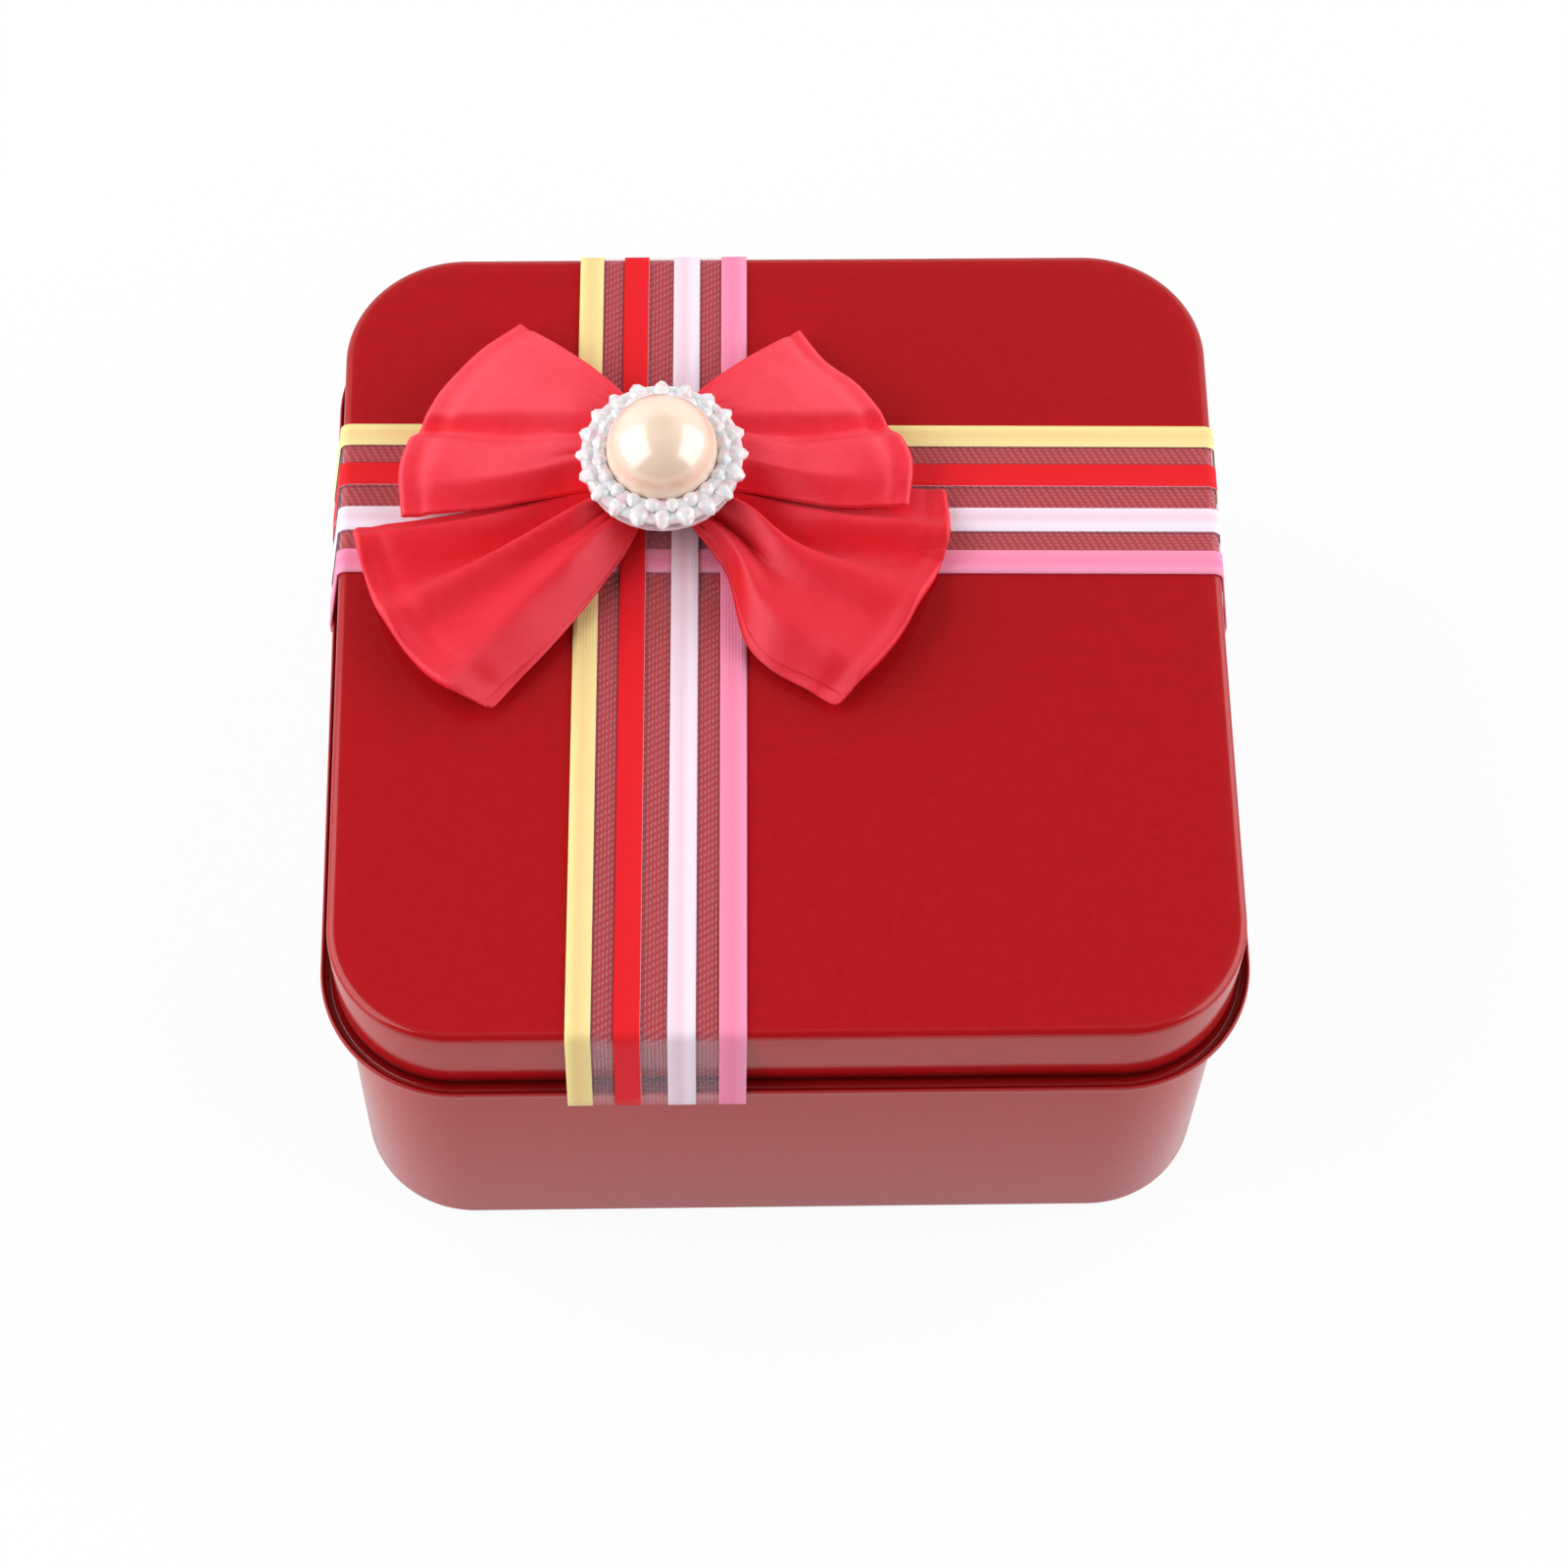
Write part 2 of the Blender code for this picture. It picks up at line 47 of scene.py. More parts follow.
# Places read from the frame
LID_LOW, LID_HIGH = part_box("lid_tin")
BASE_LOW, BASE_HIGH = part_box("base_tin")
RIBBONS_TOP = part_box("ribbon_lengthwise")[1].z
RIBBON_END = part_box("ribbon_crosswise")[0].z
LID_TOP = LID_HIGH.z
LID_BOTTOM = LID_LOW.z
PEARL_LOW, PEARL_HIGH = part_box("pearl_cabochon")
GLUE_LOW, GLUE_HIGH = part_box("bow_glue_pad")
BOW_CENTRE = (GLUE_LOW + GLUE_HIGH) / 2 * Vector((1, 1, 0))
BUTTON_CENTRE = (PEARL_LOW + PEARL_HIGH) / 2 * Vector((1, 1, 0))

# Tin: the same pressings as the solids, with finer steps
TINPLATE = 0.3 * MM
LID_CORNER_RADIUS = 13.8 * MM
LID_EDGE_RADIUS = 1.0 * MM
CURL_DIAMETER = 1.9 * MM
RIM_ROLL_DIAMETER = 1.6 * MM
BASE_TAPER = 0.2 * MM
BASE_EDGE_RADIUS = 2.2 * MM
FOOT_WIDTH = 2.5 * MM
PANEL_RECESS = 0.8 * MM
PANEL_BORDER = 1.5 * MM
CURL_TURN = math.radians(218)
RIM_ROLL_TURN = math.radians(285)
CURL_OUTSET = CURL_DIAMETER - TINPLATE
LID_SIDE = LID_HIGH.x - LID_LOW.x - 2 * CURL_OUTSET
BASE_SIDE = BASE_HIGH.x - BASE_LOW.x
BASE_CORNER_RADIUS = LID_CORNER_RADIUS - (LID_SIDE - BASE_SIDE) / 2
CORNER_STEPS = 28
EDGE_STEPS = 8
ROLL_STEPS = 22

# Lacquer: painted shade in the groove over the curl, darkest at this height over the curl's middle
GROOVE_SHADE_RISE = 0.6 * MM
GROOVE_SHADE_REACH = 1.75 * MM
GROOVE_SHADE_STEPS = 8
LACQUER_GRAIN = 0.9 * MM
ORANGE_PEEL = 1.6 * MM
ORANGE_PEEL_DEPTH = 0.01 * MM

# Ribbons: seven stripes on the common 20 mm ribbon, their edges in mm from the yellow one
RIBBON_WIDTH = 19.5 * MM
SATIN_STRIPE_THICKNESS = 0.25 * MM
SHEER_THICKNESS_SHARE = 0.7
STRIPE_EDGES = [0, 2.7, 5.15, 8.0, 10.95, 13.95, 16.5, 19.5]
STRIPE_RAMP = 0.06
STRIPE_COLUMNS = 4
CLEAR = 0.1 * MM
LENGTHWISE_X = BOW_CENTRE.x
LENGTHWISE_SLANT = 1.4 * MM
CROSSWISE_Y = BOW_CENTRE.y
CROSSWISE_SLANT = -1.2 * MM
CROSSING_RAMP = 3 * MM
CROSSING_RISE = SATIN_STRIPE_THICKNESS + CLEAR
RAMP_STEPS = 8
RIBBON_EDGE_STEPS = 8

# Weave of the ribbons: organza's threads lie 0.2 mm apart and are drawn coarser, so that they show
ORGANZA_TWILL_TURN = math.radians(62)
ORGANZA_TWILL_SPACING = 0.75 * MM
ORGANZA_WARP_SPACING = 0.42 * MM
ORGANZA_LEAST_COVER = 0.036
ORGANZA_THREAD_COVER = 0.09
ORGANZA_ASLANT = 2.2
STRIPE_FLOAT_SPACING = 0.36 * MM
STRIPE_FLOAT_DEPTH = 0.03 * MM

# Satin bow: outlines seen from above, in millimetres from the bow's middle, back to front
SATIN = 0.25 * MM
UPPER_LEFT_BEND = [
    (-16, 22.1), (-20.3, 18.4), (-24.4, 12.6), (-26.4, 8.4), (-28.2, 5.6), (-29.3, 1.4),
    (-29.0, -3.8),
]
UPPER_RIGHT_BEND = [
    (16.4, 21.1), (19.2, 16.5), (22.6, 12.6), (25.4, 8.4), (27.4, 5.8), (28.7, 2), (28.2, -2.8),
]
LOWER_LEFT_BEND = [
    (-34.6, -4.7), (-33.4, -9.6), (-31.2, -16.2), (-28, -21.4), (-24.2, -25.4), (-19.6, -27),
]
LOWER_RIGHT_BEND = [
    (32.7, 0), (32.9, -5.6), (31.2, -10.8), (28, -17.8), (24.6, -22.8), (20.6, -26.8),
]

# Back and front selvedge of each loop at the pinch, a third and two thirds of the way out, in mm
UPPER_LEFT_EDGES = [((-0.5, 6), (0, -0.5)), ((-5, 12), (-9, -0.6)), ((-10.5, 17.6), (-19, -2.6))]
UPPER_RIGHT_EDGES = [((0.5, 6), (0, -0.5)), ((5, 11.5), (9, -0.6)), ((10.5, 16.6), (19, -2.8))]
LOWER_LEFT_EDGES = [
    ((0, 2.5), (-1, -2.5)), ((-11, 0.6), (-5.1, -10.4)), ((-22.5, -2.8), (-11.5, -18.5)),
]
LOWER_RIGHT_EDGES = [
    ((0, 2.5), (1.5, -2.5)), ((10.5, 1.2), (7.5, -10.5)), ((21.5, 0.3), (10.8, -20.3)),
]

# Ridges and creases of each loop's top layer, back to front. Each line runs from the pinch to the
# bend in four stations: the share of the satin's width, and the height in mm over the ribbons
UPPER_LEFT_FOLDS = [
    [(0, 3.95), (0, 4.4), (0, 3.2), (0, 1.9)],
    [(0.28, 3.95), (0.44, 6.8), (0.49, 6.3), (0.49, 4.5)],
    [(0.45, 3.95), (0.58, 5.6), (0.61, 4.0), (0.58, 2.6)],
    [(0.6, 3.95), (0.7, 6.0), (0.72, 5.2), (0.68, 4.0)],
    [(0.8, 3.95), (0.86, 5.8), (0.88, 5.0), (0.87, 4.0)],
    [(1.0, 3.95), (1.0, 2.3), (1.0, 2.3), (1.0, 2.5)],
]
UPPER_RIGHT_FOLDS = [
    [(0, 3.95), (0, 4.4), (0, 3.2), (0, 1.8)],
    [(0.28, 3.95), (0.43, 6.8), (0.48, 6.3), (0.48, 4.5)],
    [(0.45, 3.95), (0.56, 5.6), (0.6, 4.0), (0.58, 2.6)],
    [(0.6, 3.95), (0.68, 6.0), (0.7, 5.2), (0.7, 4.0)],
    [(0.8, 3.95), (0.84, 5.8), (0.86, 5.0), (0.86, 4.0)],
    [(1.0, 3.95), (1.0, 2.3), (1.0, 2.4), (1.0, 2.5)],
]
LOWER_LEFT_FOLDS = [
    [(0.06, 2.5), (0.06, 0.9), (0.04, 1.0), (0, 1.1)],
    [(0.14, 2.5), (0.16, 1.5), (0.12, 2.7), (0.08, 2.3)],
    [(0.3, 2.5), (0.36, 0.4), (0.33, 0.4), (0.28, 0.8)],
    [(0.42, 2.5), (0.49, 7.0), (0.46, 5.3), (0.44, 3.4)],
    [(0.55, 2.5), (0.62, 5.4), (0.6, 3.8), (0.6, 2.6)],
    [(0.78, 2.5), (0.8, 6.2), (0.8, 5.6), (0.83, 3.4)],
    [(1.0, 2.5), (1.03, 1.8), (1.03, 1.3), (1.02, 1.0)],
]
LOWER_RIGHT_FOLDS = [
    [(0.08, 2.5), (0.11, 0.9), (0.14, 0.9), (0.12, 0.9)],
    [(0.2, 2.5), (0.22, 1.4), (0.24, 2.9), (0.22, 2.8)],
    [(0.3, 2.5), (0.38, 0.3), (0.38, 0.4), (0.37, 0.9)],
    [(0.5, 2.5), (0.51, 6.6), (0.52, 5.4), (0.54, 3.6)],
    [(0.7, 2.5), (0.66, 2.4), (0.66, 3.6), (0.68, 3.0)],
    [(0.85, 2.5), (0.83, 4.8), (0.84, 4.4), (0.87, 3.1)],
    [(1.0, 2.5), (1.04, 1.6), (1.04, 1.2), (1.03, 1.0)],
]

# Turn of the bottom layer from the top one, and its heights over the ribbons, back and front
UPPER_TWIST = 0
LOWER_LEFT_TWIST = math.radians(1.8)
LOWER_RIGHT_TWIST = math.radians(-2.4)
UPPER_REST = (0.8 * MM, 2.2 * MM)
LOWER_REST = (0.2 * MM, 0.2 * MM)

# Gathers at the pinch, how sharp the creases are, and how far the two layers part
PINCH_PARTING = 0.45 * MM
LEAST_PARTING = 0.45 * MM
GATHER_PLEAT = 1.2 * MM
GATHER_PLEATS = 6
PLEAT_LOWERING = 0.7
GATHER_WANDER = 0.15
GATHER_WANDER_WAVE = 9
GATHER_WANDER_START = 0.9 / MM
GATHER_REACH_SHARE = 0.5
UNDER_PUCKER = 1.6 * MM
PINCH_CREASE_POWER = 1.3
BEND_CREASE_POWER = 2.2
PARTING_SHARE = 0.22
MIDDLE_PARTING_SHARE = 0.6
PARTING_REACH_SHARE = 0.35

# Bends, small wrinkles, steps and the size that each band was cut to
BEND_RADIUS = 0.6 * MM
BEND_LIP = 0.3 * MM
BEND_LIP_REACH_SHARE = 0.09
WRINKLE = 0.16 * MM
WRINKLE_SPACING = 5 * MM
ALONG_STEPS = 44
ACROSS_STEPS = 84
BEND_STEPS = 10
UPPER_RIBBON_CUT = (30 * MM, 108 * MM)
LOWER_RIBBON_CUT = (30 * MM, 136 * MM)

# Satin: its reds, darker and lighter, for one satin. The upper band's are painted lighter as
# painted light, and the lower band's painted deeper as painted shade
UPPER_SATIN_PAINTED_LIT_REDS = ("F22A36", "F83442")
LOWER_SATIN_PAINTED_SHADE_REDS = ("E2151F", "E81B29")
SATIN_GRAIN = 1.2 * MM
SATIN_TWILL_TURN = math.radians(20)
SATIN_TWILL_SPACING = 0.3 * MM
SATIN_TWILL_DEPTH = 0.02 * MM

# Thread binding, and the glue under and over the bow
THREAD = 0.3 * MM
THREAD_TURNS = 4
THREAD_RIDGE_DEPTH = 0.08 * MM
BINDING_FRONT_BACK = (-3 * MM, 6.5 * MM)
BINDING_LOW_HIGH = (1.2 * MM, 4.95 * MM)
BINDING_CORNER_RADIUS = 1.2 * MM
BINDING_CORNER_STEPS = 5
GLUE_LUMP = 2 * MM
GLUE_LUMP_DEPTH = 0.1 * MM

# Pearl button
PEARL_DIAMETER = 12.5 * MM
PEARL_EDGE_RADIUS = 0.4 * MM
PEARL_STEPS = 40
PEARL_EDGE_STEPS = 6
PEARL_TURN_STEPS = 96
PEARL_MERGE = 0.001 * MM
PEARL_BLOOM = 5 * MM
BEAD_COUNT = 20
OUTER_BEAD = Vector((3.0, 2.4, 1.8)) * MM
OUTER_CIRCLE_RADIUS = 8.3 * MM
OUTER_HOOP = 1.6 * MM
INNER_BEAD = Vector((1.9, 2.0, 1.5)) * MM
INNER_CIRCLE_RADIUS = 7.0 * MM
INNER_HOOP = 1.4 * MM
BEAD_TAPER = 0.36
BEAD_WOBBLE = 0.1
BEAD_WOBBLE_STEP = 2.4
BEAD_FACETS = 9
BEAD_ROWS = 7
BEAD_SHIMMER = 1.1 * MM
HOOP_STEPS_PER_BEAD = 6
HOOP_SIDES = 10

# Camera, as the photograph was taken
CAMERA_TARGET = Vector((0, -17.1, 49.35)) * MM
CAMERA_DISTANCE = 458.4 * MM
CAMERA_AZIMUTH = math.radians(-2.874)
CAMERA_ELEVATION = math.radians(63.183)
CAMERA_ROLL = math.radians(2.039)
CAMERA_LENS = 94.28
CAMERA_SENSOR = 36

# Light: a softbox on each side, as (direction, half width, half height), and a sky that is brighter
# at the back, with a dark flag where the lid's top mirrors it
SOFTBOX_DISTANCE = 550 * MM
LEFT_SOFTBOX = (Vector((-0.82, -0.117, 0.56)), 330 * MM, 290 * MM)
RIGHT_SOFTBOX = (Vector((0.87, -0.061, 0.49)), 340 * MM, 250 * MM)
SOFTBOX_STRENGTH = 3.0
SKY_STRENGTH = 0.55
FRONT_SKY_SHARE = 0.1
BACK_SKY_SHARE = 1.9
SKY_FRONT = -0.5
SKY_BACK = 0.7
FLAG = (0, 0.45, 0.89)
FLAG_SHARE = 0.12
FLAG_INNER = math.cos(math.radians(8))
FLAG_OUTER = math.cos(math.radians(30))

# Floor: the share of it that glows white to the eye, and how much less it glows in reflections
FLOOR_SIDE = 4.0
FLOOR_WHITE_SHARE = 0.92
FLOOR_MIRRORED_DROP = -0.25


def linear(code):
    """An sRGB hex colour as linear red, green, blue and alpha."""
    channels = [int(code[start:start + 2], 16) / 255 for start in (0, 2, 4)]
    return (*[c / 12.92 if c <= 0.04045 else ((c + 0.055) / 1.055) ** 2.4 for c in channels], 1)


def add_node(tree, kind, values=(), links=(), **settings):
    """Adds a node, sets its properties and input values, and links outputs to its inputs."""
    node = tree.nodes.new("ShaderNode" + kind)
    for name, value in settings.items():
        setattr(node, name, value)
    for socket, value in dict(values).items():
        node.inputs[socket].default_value = value
    for socket, source in dict(links).items():
        tree.links.new(source, node.inputs[socket])
    return node


def new_finish(name, values):
    """A material, its nodes and its Principled shader, with the shader's plain values set."""
    material = bpy.data.materials.new(name)
    material.use_nodes = True
    shader = material.node_tree.nodes["Principled BSDF"]
    for socket, value in values.items():
        shader.inputs[socket].default_value = value
    return material, material.node_tree, shader


def fill_ramp(node, stops):
    """Gives a colour ramp its stops, each a place from 0 to 1 and a colour."""
    elements = node.color_ramp.elements
    while len(elements) < len(stops):
        elements.new(1)
    for element, (place, colour) in zip(elements, stops):
        element.position = place
        element.color = colour
    return node


def wave_scale(spacing):
    """Scale at which a Wave texture, 20 radians a metre, repeats once in a spacing."""
    return 2 * math.pi / 20 / spacing


def red_lacquer():
    """Stoved red lacquer: a wet gloss, faint orange peel, and painted shade in the groove over the
    curl.
    """
    material, tree, shader = new_finish("red_stoved_lacquer", {"Roughness": 0.16, "IOR": 1.46})
    place = add_node(tree, "TexCoord").outputs["Object"]
    grain = add_node(tree, "TexNoise", {"Scale": 1 / LACQUER_GRAIN, "Detail": 3}, {"Vector": place})
    tint = add_node(tree, "ValToRGB", links={"Fac": grain.outputs["Fac"]})
    fill_ramp(tint, [(0.3, linear("AC1317")), (0.7, linear("B2151A"))])
    # Painted shade: the red is mixed towards a near-black red in the groove over the curl
    groove_shade = add_node(tree, "Attribute", attribute_name="groove_shade")
    tint = add_node(
        tree, "MixRGB", {2: linear("3C0406")}, {0: groove_shade.outputs["Fac"], 1: tint.outputs["Color"]},
    )
    peel = add_node(tree, "TexNoise", {"Scale": 1 / ORANGE_PEEL, "Detail": 1}, {"Vector": place})
    bump = add_node(
        tree, "Bump", {"Strength": 0.35, "Distance": ORANGE_PEEL_DEPTH},
        {"Height": peel.outputs["Fac"]},
    )
    tree.links.new(tint.outputs["Color"], shader.inputs["Base Color"])
    tree.links.new(bump.outputs["Normal"], shader.inputs["Normal"])
    return material


def striped_ribbon_cloth():
    """Woven ribbon: satin stripes, whose long threads shine, with sheer organza between them."""
    material, tree, shader = new_finish(
        "striped_satin_and_organza", {"Roughness": 0.6, "Specular IOR Level": 0.12},
    )
    place = add_node(tree, "TexCoord").outputs["UV"]
    across = add_node(tree, "SeparateXYZ", links={"Vector": place}).outputs["X"]
    share = add_node(tree, "Math", {1: RIBBON_WIDTH}, {0: across}, operation="DIVIDE")
    organza = linear("FFD8E6")
    stripes = [
        [(0, "FBEBA0"), (0.45, "F6D592"), (1, "FAE7A2")],
        None,
        [(0, "E61E27"), (1, "E9222B")],
        None,
        [(0, "F6E4F0"), (0.45, "F2D3E2"), (0.75, "FAEAF8"), (1, "F3E4F2")],
        None,
        [(0, "FB98B8"), (0.5, "FA8CB2"), (1, "FCA4C4")],
    ]
    colours = []
    cover = []
    for start, end, tones in zip(STRIPE_EDGES, STRIPE_EDGES[1:], stripes):
        inset = 2 * STRIPE_RAMP if tones is None else 0
        low = (start + inset) * MM / RIBBON_WIDTH
        high = (end - inset) * MM / RIBBON_WIDTH
        if tones is None:
            colours += [(low, organza), (high, organza)]
        else:
            colours += [(low + (high - low) * at, linear(code)) for at, code in tones]
        cover.append((start * MM / RIBBON_WIDTH, (0, 0, 0, 1) if tones is None else (1, 1, 1, 1)))
    tint = fill_ramp(add_node(tree, "ValToRGB", links={"Fac": share.outputs["Value"]}), colours)
    solid = fill_ramp(add_node(tree, "ValToRGB", links={"Fac": share.outputs["Value"]}), cover)
    solid.color_ramp.interpolation = "CONSTANT"

    # Organza: two sets of threads, and the mesh covers most where they cross
    turned = add_node(tree, "Mapping", {"Rotation": (0, 0, ORGANZA_TWILL_TURN)}, {"Vector": place})
    twill = add_node(
        tree, "TexWave",
        {"Scale": wave_scale(ORGANZA_TWILL_SPACING), "Distortion": 0.6, "Detail": 1},
        {"Vector": turned.outputs["Vector"]},
    )
    warp = add_node(tree, "TexWave", {"Scale": wave_scale(ORGANZA_WARP_SPACING)}, {"Vector": place})
    crossed = add_node(
        tree, "Math", links={0: twill.outputs["Fac"], 1: warp.outputs["Fac"]}, operation="MULTIPLY",
    )
    veil = add_node(
        tree, "Math", {1: ORGANZA_THREAD_COVER, 2: ORGANZA_LEAST_COVER},
        {0: crossed.outputs["Value"]}, operation="MULTIPLY_ADD",
    )

    # Organza covers more where it hangs down the skirt, as the photograph shows it paler there
    facing = add_node(tree, "NewGeometry").outputs["Normal"]
    level = add_node(tree, "SeparateXYZ", links={"Vector": facing}).outputs["Z"]
    level = add_node(tree, "Math", links={0: level}, operation="ABSOLUTE").outputs["Value"]
    aslant = add_node(tree, "MapRange", {"To Min": ORGANZA_ASLANT, "To Max": 1}, {"Value": level})
    veil = add_node(
        tree, "Math", links={0: veil.outputs["Value"], 1: aslant.outputs["Result"]},
        operation="MULTIPLY",
    )
    alpha = add_node(
        tree, "Math", links={0: solid.outputs["Color"], 1: veil.outputs["Value"]},
        operation="MAXIMUM",
    )
    floats = add_node(
        tree, "TexWave", {"Scale": wave_scale(STRIPE_FLOAT_SPACING)}, {"Vector": place},
    )
    bump = add_node(
        tree, "Bump", {"Strength": 0.5, "Distance": STRIPE_FLOAT_DEPTH},
        {"Height": floats.outputs["Fac"]},
    )
    tree.links.new(tint.outputs["Color"], shader.inputs["Base Color"])
    tree.links.new(alpha.outputs["Value"], shader.inputs["Alpha"])
    tree.links.new(bump.outputs["Normal"], shader.inputs["Normal"])
    return material


def red_satin_cloth(name, darker, lighter):
    """Polyester satin: long floats side by side give a broad gloss that runs along the folds."""
    material, tree, shader = new_finish(name, {
        "Roughness": 0.6, "IOR": 1.72, "Specular IOR Level": 1.0, "Specular Tint": linear("FFB0C4"),
        "Anisotropic": 0.85,
    })
    place = add_node(tree, "TexCoord").outputs["UV"]
    grain = add_node(tree, "TexNoise", {"Scale": 1 / SATIN_GRAIN, "Detail": 3}, {"Vector": place})
    tint = add_node(tree, "ValToRGB", links={"Fac": grain.outputs["Fac"]})
    fill_ramp(tint, [(0.3, linear(darker)), (0.7, linear(lighter))])
    turned = add_node(tree, "Mapping", {"Rotation": (0, 0, SATIN_TWILL_TURN)}, {"Vector": place})
    twill = add_node(
        tree, "TexWave", {"Scale": wave_scale(SATIN_TWILL_SPACING)},
        {"Vector": turned.outputs["Vector"]},
    )
    bump = add_node(
        tree, "Bump", {"Strength": 0.3, "Distance": SATIN_TWILL_DEPTH},
        {"Height": twill.outputs["Fac"]},
    )
    floats = add_node(tree, "Tangent", direction_type="UV_MAP", uv_map="cloth")
    tree.links.new(tint.outputs["Color"], shader.inputs["Base Color"])
    tree.links.new(bump.outputs["Normal"], shader.inputs["Normal"])
    tree.links.new(floats.outputs["Tangent"], shader.inputs["Tangent"])
    return material


def pearl_coat():
    """Imitation pearl: plastic under a mica and lacquer coat, creamy with white highlights."""
    material, tree, shader = new_finish(
        "ivory_pearl_lacquer",
        {"Roughness": 0.35, "Coat Weight": 1.0, "Coat IOR": 2.1, "Coat Roughness": 0.19},
    )
    place = add_node(tree, "TexCoord").outputs["Object"]
    bloom = add_node(tree, "TexNoise", {"Scale": 1 / PEARL_BLOOM, "Detail": 2}, {"Vector": place})
    tint = add_node(tree, "ValToRGB", links={"Fac": bloom.outputs["Fac"]})
    fill_ramp(tint, [(0.3, linear("F8DABE")), (0.7, linear("FAE0CC"))])
    tree.links.new(tint.outputs["Color"], shader.inputs["Base Color"])
    return material


def coated_acrylic():
    """Acrylic beads with an iridescent coat, which gives pink and blue tints and wet glints."""
    material, tree, shader = new_finish("iridescent_coated_acrylic", {
        "Roughness": 0.15, "IOR": 1.49, "Transmission Weight": 0.2, "Coat Weight": 0.7,
        "Coat Roughness": 0.05,
    })
    place = add_node(tree, "TexCoord").outputs["Object"]
    shimmer = add_node(
        tree, "TexNoise", {"Scale": 1 / BEAD_SHIMMER, "Detail": 1}, {"Vector": place},
    )
    tint = add_node(tree, "ValToRGB", links={"Fac": shimmer.outputs["Fac"]})
    fill_ramp(tint, [
        (0.35, linear("FFE2EA")), (0.5, linear("FFFDFE")), (0.6, linear("FFFDFE")),
        (0.72, linear("EAF0FC")),
    ])
    tree.links.new(tint.outputs["Color"], shader.inputs["Base Color"])
    return material


def hot_melt_glue():
    """Hot-melt glue: milky, waxy and slightly uneven."""
    material, tree, shader = new_finish("milky_hot_melt_glue", {
        "Base Color": linear("E2DDCF"), "Roughness": 0.35, "Subsurface Weight": 0.3,
    })
    place = add_node(tree, "TexCoord").outputs["Object"]
    lumps = add_node(tree, "TexNoise", {"Scale": 1 / GLUE_LUMP}, {"Vector": place})
    bump = add_node(tree, "Bump", {"Distance": GLUE_LUMP_DEPTH}, {"Height": lumps.outputs["Fac"]})
    tree.links.new(bump.outputs["Normal"], shader.inputs["Normal"])
    return material


def sewing_thread():
    """Spun polyester thread wound side by side: matt, with a ridge for each turn."""
    material, tree, shader = new_finish(
        "red_spun_thread", {"Base Color": linear("C8202C"), "Roughness": 0.75, "Sheen Weight": 0.3},
    )
    place = add_node(tree, "TexCoord").outputs["Object"]
    turns = add_node(tree, "TexWave", {"Scale": wave_scale(THREAD)}, {"Vector": place})
    bump = add_node(
        tree, "Bump", {"Distance": THREAD_RIDGE_DEPTH}, {"Height": turns.outputs["Fac"]},
    )
    tree.links.new(bump.outputs["Normal"], shader.inputs["Normal"])
    return material


def finished(name, mesh, *materials):
    """A smooth object in the scene with its materials."""
    mesh.shade_smooth()
    for material in materials:
        mesh.materials.append(material)
    piece = bpy.data.objects.new(name, mesh)
    bpy.context.scene.collection.objects.link(piece)
    return piece


def mesh_of(name, shape):
    """A mesh from a finished bmesh, with its faces turned outwards."""
    bmesh.ops.recalc_face_normals(shape, faces=shape.faces)
    mesh = bpy.data.meshes.new(name)
    shape.to_mesh(mesh)
    shape.free()
    return mesh


def thicken(piece, thickness):
    """Gives a surface its thickness, half of it on each side."""
    solid = piece.modifiers.new("thickness", "SOLIDIFY")
    solid.thickness = thickness
    solid.offset = 0
    solid.use_even_offset = True
    return solid


def fit_in(piece, body, slot, *nodes):
    """Puts a piece on its body in place of its nodes. The slot, the finish it takes, is not used.
    """
    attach(piece, body)
    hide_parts(*nodes)


def arc(centre, radius, start, turn, steps):
    """Points of a round stretch of a section, as (outward, up)."""
    angles = [start + turn * step / steps for step in range(steps + 1)]
    return [(centre[0] + radius * math.cos(a), centre[1] + radius * math.sin(a)) for a in angles]


def rounded_square(side, radius, height):
    """One closed ring of points, anticlockwise from the middle of the right side."""
    ring = []
    reach = side / 2 - radius
    for corner, (across, back) in enumerate([(1, 1), (-1, 1), (-1, -1), (1, -1)]):
        for step in range(CORNER_STEPS + 1):
            angle = (corner + step / CORNER_STEPS) * math.pi / 2
            x = across * reach + radius * math.cos(angle)
            y = back * reach + radius * math.sin(angle)
            ring.append(Vector((x, y, height)))
    return ring


def press_tin(name, section, side, radius, groove_shade_height, lacquer):
    """A tin half: its section swept round a rounded square, lacquered on both faces.

    Its fifth argument is the height, on the section's straight wall, at which the painted groove
    shade is darkest. One that is out of the section's reach paints no shade.
    """
    shape = bmesh.new()
    # Share of painted groove shade at each point, for the lacquer to read
    groove_shade = shape.verts.layers.float.new("groove_shade")
    rings = []
    border = (section[0][0] - PANEL_BORDER, section[0][1])
    for outward, up in [border] + section:
        ring = rounded_square(side + 2 * outward, radius + outward, up)
        rings.append([shape.verts.new(point) for point in ring])
        for vert in rings[-1]:
            vert[groove_shade] = max(0, 1 - math.dist((outward, up), (0, groove_shade_height)) / GROOVE_SHADE_REACH)
    shape.faces.new(rings[0])
    for inner, outer in zip(rings, rings[1:]):
        for index in range(len(inner)):
            after = (index + 1) % len(inner)
            shape.faces.new((inner[index], inner[after], outer[after], outer[index]))
    piece = finished(name, mesh_of(name, shape), lacquer)
    thicken(piece, TINPLATE)
    return piece


